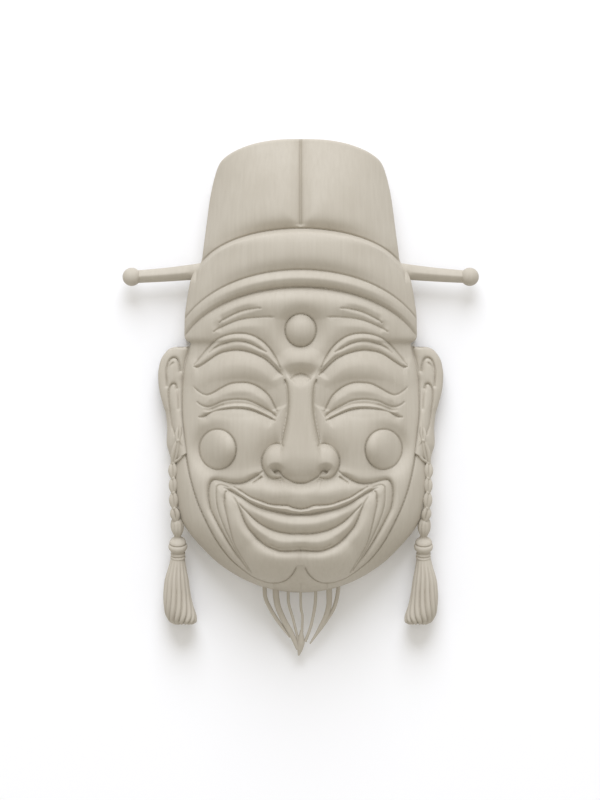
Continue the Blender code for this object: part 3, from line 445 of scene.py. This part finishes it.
def through(points, spans=8):
    """A smooth line through the points, as a finer list of points."""
    p = np.array(points, float)
    p = np.vstack([2 * p[0] - p[1], p, 2 * p[-1] - p[-2]])
    t = np.linspace(0.0, 1.0, spans, endpoint=False)[:, None]
    line = []
    for a, b, c, d in zip(p[:-3], p[1:-2], p[2:-1], p[3:]):
        square = 2 * a - 5 * b + 4 * c - d
        cube = 3 * b - a - 3 * c + d
        line.append(0.5 * (2 * b + (c - a) * t + square * t**2 + cube * t**3))
    return np.vstack(line + [p[-2:-1]])


def along(table, y):
    """The value at each height y of a table of (height, value) from the top down."""
    line = through(table)
    return np.interp(-y, -line[:, 0], line[:, 1])


def half_width(points, y):
    """How far out an outline lies at each height y."""
    line = through(points)
    return np.interp(-y, -line[:, 1], line[:, 0])


def arc_points(line, count=60):
    """Points along one of the hat's lines, from its outer end to the middle."""
    top, half, drop = line
    turn = np.linspace(ARC_TURN, 0.0, count)
    return np.stack([half * np.sin(turn), top - drop * (1 - np.cos(turn))], 1)


def under_arc(a, y, line):
    """How far a point lies below one of the hat's lines, measured across it."""
    top, half, drop = line
    s = np.clip(a / half, 0.0, ARC_LIMIT)
    root = np.sqrt(1 - s * s)
    return (top - drop * (1 - root) - y) / np.hypot(1, drop / half * s / root)


def near_line(a, y, line, reach):
    """Distance to the line, its side, the share passed, and which points are near."""
    distance = np.full(a.shape, FAR)
    side = np.ones(a.shape)
    share = np.zeros(a.shape)
    low, high = line.min(0) - reach, line.max(0) + reach
    near = (a > low[0]) & (a < high[0]) & (y > low[1]) & (y < high[1])
    near_a, near_y = a[near], y[near]
    steps = np.diff(line, axis=0)
    lengths = np.hypot(steps[:, 0], steps[:, 1])
    starts = np.concatenate([[0.0], np.cumsum(lengths)])
    best = np.full(near_a.shape, FAR**2)
    best_side = np.ones_like(best)
    best_share = np.zeros_like(best)
    for start, step, length, passed in zip(line, steps, lengths, starts):
        da, dy = near_a - start[0], near_y - start[1]
        t = np.clip((da * step[0] + dy * step[1]) / length**2, 0.0, 1.0)
        squared = (da - t * step[0]) ** 2 + (dy - t * step[1]) ** 2
        closer = squared < best
        best[closer] = squared[closer]
        best_side[closer] = np.sign(step[0] * dy - step[1] * da)[closer]
        best_share[closer] = (passed + t[closer] * length) / starts[-1]
    distance[near] = np.sqrt(best)
    side[near] = best_side
    share[near] = best_share
    return distance, side, share, near


def mound(a, y, shape):
    """A soft rise that fades to nothing at its own oval edge."""
    x0, y0, across, up, height = shape
    spot = ((a - x0) / across) ** 2 + ((y - y0) / up) ** 2
    return height * (1 - np.clip(spot, 0.0, 1.0)) ** MOUND_POWER


def nose(a, y):
    """How far the nose's ridge and wings stand over the face."""
    across = 1 - np.clip(a / along(RIDGE_WIDTH, y), 0.0, 1.0) ** RIDGE_FULLNESS
    ridge = np.maximum(along(RIDGE_HEIGHT, y), 0.0) * across
    x0, y0, wide, up, height = NOSE_WING
    spot = ((a - x0) / wide) ** 2 + ((y - y0) / up) ** 2
    wing = height * (1 - np.clip(spot, 0.0, 1.0)) ** WING_POWER
    # the two forms melt into each other where they meet
    return (ridge**NOSE_MELT + wing**NOSE_MELT) ** (1 / NOSE_MELT)


def smooth_form(a, y):
    """The hat and the head before the strokes, and how far the face has begun."""
    crown_rise = along(CROWN_HEIGHT, y) - CROWN_EDGE
    u = np.clip(a / along(CROWN_HALF, y), 0.0, 1.0)
    crown = CROWN_EDGE + crown_rise * (1 - u**CROWN_FULLNESS)
    half = np.where(y > HAT_FOOT, along(HAT_HALF, y), half_width(OUTLINE, y))
    u = np.clip(a / np.maximum(half, TINY), 0.0, 1.0)
    head = EDGE_HEIGHT + (along(HEAD_HEIGHT, y) - EDGE_HEIGHT) * (1 - u**HEAD_FULLNESS)
    # each step ends or begins at its line, so that the line runs along its foot
    in_band = smooth(under_arc(a, y, CROWN_LINE) / STEP_WIDTH)
    on_face = smooth(under_arc(a, y, BRIM_LINE) / STEP_WIDTH + 1.0)
    height = crown * (1 - in_band) + head * in_band - HAT_STEP * on_face
    for shape in MOUNDS.values():
        height = height + mound(a, y, shape) * on_face
    return height + nose(a, y), on_face


def outside_face(a, y):
    """One where a point is outside the carved edge of the face, else zero."""
    line = through(FACE_EDGE, 6)
    lowest = int(line[:, 1].argmin())
    flank, notch = line[: lowest + 1], line[lowest:]
    outer = np.interp(-y, -flank[:, 1], flank[:, 0], left=FAR, right=0.0)
    inner = np.interp(y, notch[:, 1], notch[:, 0], right=0.0)
    return smooth(a - outer + 0.5) + smooth(inner - a + 0.5) * (inner > 0)


def melted(first, second):
    """The greater of two depths, eased where they are alike."""
    return (first**BANK_MELT + second**BANK_MELT) ** (1 / BANK_MELT)


def carve(a, y):
    """How far the banks roll down, and how deep the cuts go, at each point."""
    strokes = [(through(stroke[6]),) + stroke[:6] for stroke in STROKES.values()]
    strokes += [(arc_points(line),) + shape for line, shape in HAT_STROKES]
    strokes.append((through(FACE_EDGE),) + FACE_STROKE)
    on_crown = smooth(-under_arc(a, y, CROWN_LINE) / SEAM_FADE)
    roll = SEAM_BANK * np.exp(-((a / SEAM_WIDTH) ** BANK_POWER)) * on_crown
    cut = SEAM_CUT * np.exp(-((a / SEAM_CUT_WIDTH) ** 2)) * on_crown
    for line, depth, bank, upper, lower, begin, end in strokes:
        reach = BANK_REACH * max(upper, lower) + 1.0
        distance, side, share, near = near_line(a, y, line, reach)
        fade = np.ones_like(a)
        ends = np.ones_like(a)
        for passed, length in ((share, begin), (1 - share, end)):
            if length > 0:
                fade = fade * smooth(passed / length)
                ends = ends * smooth(CUT_FADE * passed / length)
        width = np.where(side > 0, lower, upper)
        rolled = bank * fade * np.exp(-((distance / width) ** BANK_POWER))
        grooved = depth * ends * np.exp(-((distance / CUT_WIDTH) ** 2))
        roll = np.where(near, melted(roll, rolled), roll)
        cut = np.where(near, np.maximum(cut, grooved), cut)
    return roll, cut


def bosses(a, y):
    """The round marks, each a dome in a soft dish with a ring cut between them."""
    height = np.zeros_like(a)
    cut = np.zeros_like(a)
    for x0, y0, across, up, lean in BOSSES.values():
        spot = np.hypot((a - x0) / across, (y - y0) / up)
        away = (spot - 1) * (across + up) / 2
        outwards = lean * np.clip((a - x0) / across, -1.0, 1.0)
        dome = BOSS_HEIGHT * (1 - np.clip(spot, 0.0, 1.0) ** DOME_POWER)
        dish = DISH_DEPTH * np.exp(-((np.maximum(away, 0.0) / DISH_WIDTH) ** DISH_POWER))
        height = height + dome * (1 - outwards) - dish * (1 + outwards)
        cut = np.maximum(cut, np.exp(-((away / CUT_WIDTH) ** 2)))
    return height, cut


def front_height(a, y):
    """The carved front of hat and head."""
    height, on_face = smooth_form(a, y)
    roll, cut = carve(a, y)
    marks, rings = bosses(a, y)
    height = height - roll + marks - np.maximum(cut, rings)
    return height - FACE_STEP * outside_face(a, y) * on_face


def cavity_height(a, y):
    """The hollow back, which follows the front's smooth form."""
    half = np.maximum(half_width(CAVITY_OUTLINE, y), TINY)
    u = np.clip(a / half, 0.0, 1.0)
    top, end = CAVITY_OUTLINE[0][1], CAVITY_OUTLINE[-1][1]
    ends = smooth((top - y) / CAVITY_END) * smooth((y - end) / CAVITY_END)
    middle = np.minimum(along(HEAD_HEIGHT, y), along(CROWN_HEIGHT, y)) - SHELL
    rise = (1 - u**CAVITY_FULLNESS) * ends**CAVITY_END_POWER
    return CAVITY_BRINK + (middle - CAVITY_BRINK) * rise


def grid_object(name, sheets):
    """One mesh from sheets of points, each an array of rows by columns by 3."""
    points, quads, start = [], [], 0
    for sheet in sheets:
        rows, columns = sheet.shape[:2]
        index = np.arange(rows * columns).reshape(rows, columns) + start
        corners = (index[:-1, :-1], index[1:, :-1], index[1:, 1:], index[:-1, 1:])
        quads.append(np.stack([c.ravel() for c in corners], 1))
        points.append(sheet.reshape(-1, 3))
        start += rows * columns
    points, quads = np.vstack(points) * MM, np.vstack(quads)
    mesh = bpy.data.meshes.new(name)
    mesh.vertices.add(len(points))
    mesh.vertices.foreach_set("co", points.ravel())
    mesh.loops.add(quads.size)
    mesh.loops.foreach_set("vertex_index", quads.ravel())
    mesh.polygons.add(len(quads))
    mesh.polygons.foreach_set("loop_start", np.arange(0, quads.size, 4))
    mesh.update(calc_edges=True)
    obj = bpy.data.objects.new(name, mesh)
    bpy.context.scene.collection.objects.link(obj)
    return obj


def apply_modifiers(obj):
    """Puts the modifiers' result in place of the piece's mesh."""
    graph = bpy.context.evaluated_depsgraph_get()
    mesh = bpy.data.meshes.new_from_object(obj.evaluated_get(graph))
    obj.modifiers.clear()
    old, obj.data = obj.data, mesh
    bpy.data.meshes.remove(old)


def finished(obj, share=1.0, angle=70):
    """Weld and thin the mesh, shade it, and fix the piece to the mask."""
    bm = bmesh.new()
    bm.from_mesh(obj.data)
    bmesh.ops.remove_doubles(bm, verts=bm.verts, dist=WELD)
    bmesh.ops.dissolve_degenerate(bm, edges=bm.edges, dist=DEGENERATE)
    bmesh.ops.recalc_face_normals(bm, faces=bm.faces)
    bm.to_mesh(obj.data)
    bm.free()
    if share < 1.0:
        thin = obj.modifiers.new("thin", "DECIMATE")
        thin.ratio = share
        apply_modifiers(obj)
    obj.data.shade_smooth()
    obj.data.set_sharp_from_angle(angle=math.radians(angle))
    obj.data.materials.clear()
    obj.data.materials.append(carved)
    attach(obj, "root")
    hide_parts(NODE)
    return obj


def both_sides(right):
    """A sheet whose columns run from the middle to +X, made whole by mirroring."""
    left = right[:, :0:-1] * (-1, 1, 1)
    return np.concatenate([left, right], 1)


def rows_of(outline, step):
    """Heights and half widths down an outline, no further apart than the step."""
    line = through(outline, 24)
    run = np.concatenate([[0], np.cumsum(np.hypot(*np.diff(line, axis=0).T))])
    marks = np.linspace(0, run[-1], max(8, int(run[-1] / step)))
    return np.interp(marks, run, line[:, 1]), np.interp(marks, run, line[:, 0])


def half_grid(outline, reach, step):
    """Distances from the middle and heights of a grid that fills half an outline."""
    y, half = rows_of(outline, step)
    a = np.maximum(half, TIP_WIDTH)[:, None] * np.linspace(0.0, 1.0, int(reach / step))
    return a, np.repeat(y[:, None], a.shape[1], 1)


def rounded(distance, radius):
    """How far a rounded edge sinks at each distance from it."""
    inset = np.clip(1 - distance / radius, 0.0, 1.0)
    return radius * (1 - np.sqrt(1 - inset**2))


def mask_shell():
    """The front, the side wall, the rim and the hollow back of hat and head."""
    a, rows = half_grid(OUTLINE, HEAD_REACH, FINE_STEP)
    z = front_height(a, rows)
    # the outer edge is rounded over
    edge = near_line(a, rows, through(OUTLINE, 12), EDGE_ROUND + EDGE_MARGIN)[0]
    z = z - rounded(edge, EDGE_ROUND) * EDGE_SINK
    front = np.stack([a, rows, z], 2)
    drop = smooth(np.linspace(0.0, 1.0, WALL_ROWS))[None, :, None]
    wall = front[:, -1:] * (1 - drop * (0, 0, 1))
    shell = np.concatenate([front, wall[:, 1:]], 1)
    sheets = [both_sides(shell)]
    a, rows = half_grid(CAVITY_OUTLINE, HOLLOW_REACH, HOLLOW_STEP)
    hollow = np.stack([a, rows, cavity_height(a, rows)], 2)
    brink = hollow[:, -1:] * (1, 1, 0)
    sheets.append(both_sides(np.concatenate([hollow, brink], 1))[:, ::-1])
    obj = grid_object("mask_shell", sheets)
    close_rim(obj.data)
    finished(obj, SHELL_SHARE)
    # stores each cut's depth for the painted shade in the grooves
    store_cut_shade(obj.data, lambda a, y: np.maximum(carve(a, y)[1], bosses(a, y)[1]))


def store_cut_shade(mesh, depth_at):
    """Stores how deep each outward point lies in a cut, for the painted shade that the material
    lays in its cuts.

    A level cut already lies in shade from the light, so it gets less painted shade than an
    upright one.
    """
    points = np.empty(len(mesh.vertices) * 3)
    mesh.vertices.foreach_get("co", points)
    x, y, z = points.reshape(-1, 3).T / MM
    normals = np.empty(len(mesh.vertices) * 3)
    mesh.vertices.foreach_get("normal", normals)
    outward = (normals[2::3] > OUTWARD) & (z > EDGE_HEIGHT - 1)
    a = np.abs(x)
    depth = depth_at(a, y)
    across = 2 * depth - depth_at(a + CUT_WIDTH, y) - depth_at(a - CUT_WIDTH, y)
    upward = 2 * depth - depth_at(a, y + CUT_WIDTH) - depth_at(a, y - CUT_WIDTH)
    upright = np.clip(across / np.maximum(across + upward, TINY), 0.0, 1.0)
    tint = LEVEL_CUT_SHADE + (1 - LEVEL_CUT_SHADE) * upright * (2 - upright)
    depth = np.clip(depth * tint, 0.0, 1.0) * outward
    mesh.attributes.new("painted_cut_shade", "FLOAT", "POINT").data.foreach_set("value", depth)


def close_rim(mesh):
    """Fills the flat rim between the outer wall's foot and the hollow's brink."""
    bm = bmesh.new()
    bm.from_mesh(mesh)
    bmesh.ops.remove_doubles(bm, verts=bm.verts, dist=WELD)
    foot = [edge for edge in bm.edges if edge.is_boundary
            and max(abs(vert.co.z) for vert in edge.verts) < WELD]
    bmesh.ops.triangle_fill(bm, use_beauty=True, edges=foot)
    bm.to_mesh(mesh)
    bm.free()


def face_edge(y):
    """How far out the carved edge of the face lies at each height."""
    flank = through(FACE_EDGE)
    flank = flank[: int(flank[:, 1].argmin())]
    return np.interp(-y, -flank[:, 1], flank[:, 0])


def ear_cuts(a, y):
    """How far the ear's strokes roll down, and how deep they cut."""
    roll, cut = np.zeros_like(a), np.zeros_like(a)
    for depth, bank, spread, points in EAR_STROKES:
        distance = near_line(a, y, through(points), EAR_CUT_REACH)[0]
        rolled = bank * np.exp(-((distance / spread) ** BANK_POWER))
        roll = melted(roll, rolled)
        cut = np.maximum(cut, depth * np.exp(-((distance / CUT_WIDTH) ** 2)))
    return roll, cut


def ear_height(a, y):
    """The ear's front, from under the head's edge to its own."""
    inner, outer = face_edge(y), half_width(EAR_EDGE, y)
    share = np.clip((a - inner) / np.maximum(outer - inner, TINY), 0.0, 1.0)
    # flush with the head along the edge of the face, and lower at the ear's edge
    flush = smooth_form(inner + EAR_FLUSH, y)[0] - FACE_STEP
    swell = EAR_SWELL * np.sin(math.pi * share**EAR_SWELL_LEAN)
    height = flush + (EAR_SEAT - flush) * share + swell
    roll, cut = ear_cuts(a, y)
    border = near_line(a, y, through(EAR_EDGE), EAR_BORDER)[0]
    height = height - roll - cut - rounded(border, EAR_ROUND)
    # the lobe's foot rises towards the face
    foot = LOBE_FOOT + LOBE_RISE * np.clip(LOBE_SIDE - a, 0.0, LOBE_SPAN)
    lobe = smooth((y - foot) / LOBE_FADE)
    return EAR_BACK + EAR_THIN + (height - EAR_BACK - EAR_THIN) * lobe


def ear_sheets(sign):
    """One closed sheet: the ear's front and its flat back."""
    y, edge = rows_of(EAR_EDGE, FINE_STEP)
    root = face_edge(y) - EAR_ROOT
    share = np.linspace(0.0, 1.0, int(EAR_COLUMNS_OVER / FINE_STEP))
    a = root[:, None] + (edge - root)[:, None] * share
    rows = np.repeat(y[:, None], a.shape[1], 1)
    front = np.stack([a, rows, ear_height(a, rows)], 2)
    back = np.stack([a, rows, np.full_like(a, EAR_BACK)], 2)
    sheet = np.concatenate([front, back[:, ::-1]], 1)
    return [sheet * (sign, 1, 1)]


def with_ends(rings):
    """The rings of a tube, closed to a point at both ends."""
    columns = rings.shape[1]
    ends = [np.repeat(ring.mean(0)[None, None, :], columns, 1) for ring in rings[[0, -1]]]
    return np.concatenate([ends[0], rings, ends[1]], 0)


def tube_sheet(line, radii, sides=24, form=None, flat=1.0, shear=0.0):
    """Rings round a line, closed at both ends. form(turn, share) scales each ring."""
    line = np.asarray(line, float)
    share = np.linspace(0.0, 1.0, len(line))
    steps = np.gradient(line, axis=0)
    steps /= np.linalg.norm(steps, axis=1)[:, None]
    side = np.cross(steps, (0.0, 0.0, 1.0))
    side /= np.linalg.norm(side, axis=1)[:, None]
    rise = np.cross(side, steps)
    turn = np.linspace(0.0, math.tau, sides + 1)
    reach = np.interp(share, np.linspace(0.0, 1.0, len(radii)), radii)[:, None]
    reach = np.repeat(reach, sides + 1, 1)
    if form is not None:
        reach = reach * form(turn[None, :], share[:, None])
    across = (reach * np.cos(turn))[:, :, None] * side[:, None, :]
    up = (reach * np.sin(turn) * flat)[:, :, None] * rise[:, None, :]
    back = (reach * np.sin(turn) * shear)[:, :, None] * steps[:, None, :]
    return with_ends(line[:, None, :] + across + up + back)


def strand_sheet(points, radii, sides=16, spans=10, **options):
    """A tube along a smooth line through the points."""
    return tube_sheet(through(points, spans), radii, sides, **options)


def turned(points, sign):
    """The points of one side, on the side that the sign says."""
    return [(sign * x, y, z) for x, y, z in points]


def link_sheets(sign):
    """The braid's links, each two strands that part and meet again."""
    places = np.array(turned(LINK_PLACES, sign))
    sheets = []
    for top, foot, (part, thick) in zip(places[:-1], places[1:], LINK_BULGES):
        share = np.linspace(0.0, 1.0, LINK_ROWS)
        swell = np.sin(math.pi * share)
        for side in (-1, 1):
            course = top + (foot - top) * share[:, None]
            course[:, 0] += side * (LINK_GAP + part * swell)
            course[:, 2] -= LINK_CROSSING * side * sign * np.cos(math.pi * share)
            sheets.append(tube_sheet(course, LINK_NECK + (thick - LINK_NECK) * swell, 20))
    knots = [ball_sheet(place, LINK_KNOT, 24) for place in places[1:-1]]
    return sheets + knots


def pendant_sheet(sign):
    """The bulb, neck, ball, collar and rings between braid and tassel."""
    profile = through(PENDANT, 6)
    axis = through(turned(PENDANT_AXIS, sign), 20)
    line = np.stack([np.interp(-profile[:, 0], -axis[:, 1], axis[:, k]) for k in range(3)], 1)

    def ribs(turn, share):
        on_bulb = smooth((share - RIB_BEGIN[0]) / RIB_BEGIN[1])
        on_bulb = on_bulb * smooth((RIB_END[0] - share) / RIB_END[1])
        wave = np.abs(np.cos(RIB_COUNT / 2 * turn + RIB_TURN))
        return 1 - RIB_DEPTH * on_bulb * (1 - wave) ** RIB_POWER

    return tube_sheet(line, profile[:, 1], PENDANT_SIDES, form=ribs, shear=PENDANT_SHEAR)


def tassel_sheet(sign):
    """The tassel's skirt, its flutes turning inwards towards a scalloped hem."""
    y, middle, radius = through(TASSEL, 12).T
    share = np.linspace(0.0, 1.0, len(y))[:, None]
    turn = np.linspace(0.0, math.tau, TASSEL_SIDES + 1)[None, :]
    lean = sign * TASSEL_LEAN * smooth((share - LEAN_BEGIN) / (1 - LEAN_BEGIN)) ** 1.5
    wave = np.abs(np.cos(TASSEL_FLUTES / 2 * (turn + lean)))
    flute = FLUTE_DEPTH * smooth(share / FLUTE_FADE) * (1 - wave) ** FLUTE_POWER
    reach = radius[:, None] * (1 - flute)
    x = sign * middle[:, None] + reach * np.cos(turn)
    z = TASSEL_LEVEL + reach * np.sin(turn)
    hem = HEM_WAVE * share**HEM_POWER * (wave - 1)
    return with_ends(np.stack([x, y[:, None] - hem, z], 2))


def diamond(turn, share):
    """A rounded diamond section that fades to round at the band and the ball."""
    across, up = np.abs(np.cos(turn)) ** DIAMOND_POWER, np.abs(np.sin(turn)) ** DIAMOND_POWER
    square = (across + up) ** (-1 / DIAMOND_POWER)
    strength = smooth((share - DIAMOND_BEGIN) / DIAMOND_FADE)
    return 1 + (square - 1) * strength


def ball_sheet(place, radius, sides=40):
    """A ball whose poles lie on its X axis."""
    tilt = np.linspace(0.0, math.pi, sides // 2)[:, None]
    turn = np.linspace(0.0, math.tau, sides + 1)[None, :]
    x = np.repeat(np.cos(tilt), sides + 1, 1)
    rim = np.sin(tilt)
    return np.stack([x, rim * np.cos(turn), rim * np.sin(turn)], 2) * radius + place


def side_pieces(side, sign):
    """One side's ear, ring, cord, pendant, tassel and wing."""
    ear = finished(grid_object("ear_" + side, ear_sheets(sign)), angle=60)
    # stores the ear's cut depths for the painted shade in its grooves
    store_cut_shade(ear.data, lambda a, y: ear_cuts(a, y)[1])
    ring = strand_sheet(turned(LOBE_RING, sign), LOBE_RING_RADII)
    finished(grid_object("lobe_ring_" + side, [ring]))
    finished(grid_object("braid_" + side, link_sheets(sign)))
    finished(grid_object("knot_" + side, [pendant_sheet(sign)]))
    finished(grid_object("tassel_" + side, [tassel_sheet(sign)]))
    place = turned([WING_BALL], sign)[0]
    rod = strand_sheet(
        turned(WING, sign), WING_RADII, sides=48, spans=12, form=diamond, flat=WING_FLAT,
    )
    finished(grid_object("wing_" + side, [rod, ball_sheet(place, WING_BALL_RADIUS)]))


def beard():
    """The strands under the chin, as one piece."""
    strands = [
        strand_sheet(points, radii, sides=18, spans=14, flat=BEARD_FLAT)
        for points, radii in BEARD
    ]
    finished(grid_object("beard", strands))


def carved_material():
    """Close-grained wood under a thin matt ground coat, with painted shade darkening its cuts.
    """
    material = bpy.data.materials.new("carved_wood")
    material.use_nodes = True
    nodes, links = material.node_tree.nodes, material.node_tree.links
    shader = nodes["Principled BSDF"]
    shader.inputs["Specular IOR Level"].default_value = COAT_SHINE
    place = nodes.new("ShaderNodeTexCoord").outputs["Object"]

    def stretched(scale):
        mapping = nodes.new("ShaderNodeMapping")
        mapping.inputs["Scale"].default_value = scale
        links.new(place, mapping.inputs["Vector"])
        return mapping.outputs["Vector"]

    def noise(scale, detail, stretch=(1.0, 1.0, 1.0), rough=0.5):
        node = nodes.new("ShaderNodeTexNoise")
        node.inputs["Scale"].default_value = scale
        node.inputs["Detail"].default_value = detail
        node.inputs["Roughness"].default_value = rough
        links.new(stretched(stretch), node.inputs["Vector"])
        return node.outputs["Fac"]

    def ramp(value, low, high, first, second):
        node = nodes.new("ShaderNodeMapRange")
        links.new(value, node.inputs["Value"])
        limits = {"From Min": low, "From Max": high, "To Min": first, "To Max": second}
        for name, number in limits.items():
            node.inputs[name].default_value = number
        return node.outputs["Result"]

    def blend(amount, first, second):
        node = nodes.new("ShaderNodeMix")
        node.data_type = "RGBA"
        links.new(amount, node.inputs["Factor"])
        for value, socket in ((first, node.inputs["A"]), (second, node.inputs["B"])):
            if isinstance(value, tuple):
                socket.default_value = (*value, 1.0)
            else:
                links.new(value, socket)
        return node.outputs["Result"]

    grain = noise(*GRAIN_NOISE)
    mottle = noise(*MOTTLE_NOISE)
    specks = noise(*SPECK_NOISE)
    colour = blend(ramp(mottle, *MOTTLE_RAMP), COAT_DARK, COAT_LIGHT)
    colour = blend(ramp(grain, *GRAIN_RAMP), colour, GRAIN_DARK)
    # painted shade: each cut is darkened by its stored depth, in place of the shade that gathers
    # there
    painted_cut_shade = nodes.new("ShaderNodeAttribute")
    painted_cut_shade.attribute_name = "painted_cut_shade"
    colour = blend(ramp(painted_cut_shade.outputs["Fac"], *PAINTED_CUT_SHADE_RAMP), colour, PAINTED_CUT_SHADE)
    links.new(colour, shader.inputs["Base Color"])
    links.new(ramp(specks, *ROUGH_RAMP), shader.inputs["Roughness"])

    def bump(height, depth):
        node = nodes.new("ShaderNodeBump")
        node.inputs["Strength"].default_value = BUMP_STRENGTH
        node.inputs["Distance"].default_value = depth * MM
        links.new(height, node.inputs["Height"])
        return node

    pores = bump(grain, PORE_DEPTH)
    tool_marks = bump(noise(*TOOL_NOISE), TOOL_DEPTH)
    links.new(pores.outputs["Normal"], tool_marks.inputs["Normal"])
    links.new(tool_marks.outputs["Normal"], shader.inputs["Normal"])
    return material


def area_light(name, place, size, power, tint):
    """A soft round light that looks at the middle of the mask."""
    light = bpy.data.lights.new(name, "AREA")
    light.shape = "DISK"
    light.size = size * MM
    light.energy = power
    light.color = tint
    obj = bpy.data.objects.new(name, light)
    bpy.context.scene.collection.objects.link(obj)
    obj.location = Vector(place) * MM
    way = Vector((0.0, 0.0, VIEW_PLANE)) - Vector(place)
    obj.rotation_euler = way.to_track_quat("-Z", "Y").to_euler()


def set_stage():
    """The pale floor, the even light, and the camera that looks down on the face."""
    scene = bpy.context.scene
    corners = np.array([[(-1, 1, 0), (1, 1, 0)], [(-1, -1, 0), (1, -1, 0)]])
    floor = grid_object("floor", [corners * FLOOR_REACH])
    paper = bpy.data.materials.new("pale_floor")
    paper.use_nodes = True
    shader = paper.node_tree.nodes["Principled BSDF"]
    shader.inputs["Base Color"].default_value = (FLOOR_GREY, FLOOR_GREY, FLOOR_GREY, 1.0)
    shader.inputs["Roughness"].default_value = FLOOR_ROUGH
    floor.data.materials.append(paper)
    floor.location.z = -FLOOR_DROP * MM

    world = bpy.data.worlds.new("studio")
    world.use_nodes = True
    sky = world.node_tree.nodes["Background"]
    sky.inputs["Color"].default_value = (*SKY_COLOUR, 1.0)
    sky.inputs["Strength"].default_value = SKY_STRENGTH
    scene.world = world
    area_light("key", *KEY_LIGHT)

    camera = bpy.data.cameras.new("camera")
    camera.lens = VIEW_LENS
    camera.sensor_width = SENSOR
    camera.clip_end = CLIP_END
    view = bpy.data.objects.new("camera", camera)
    scene.collection.objects.link(view)
    distance = VIEW_HEIGHT / 2 / (SENSOR / 2 / VIEW_LENS)
    view.location = Vector((*VIEW_CENTRE, VIEW_PLANE + distance)) * MM
    scene.camera = view
    scene.view_settings.view_transform = "Standard"
    scene.view_settings.look = "None"


carved = carved_material()
mask_shell()
for side, sign in (("left", -1), ("right", 1)):
    side_pieces(side, sign)
beard()
set_stage()
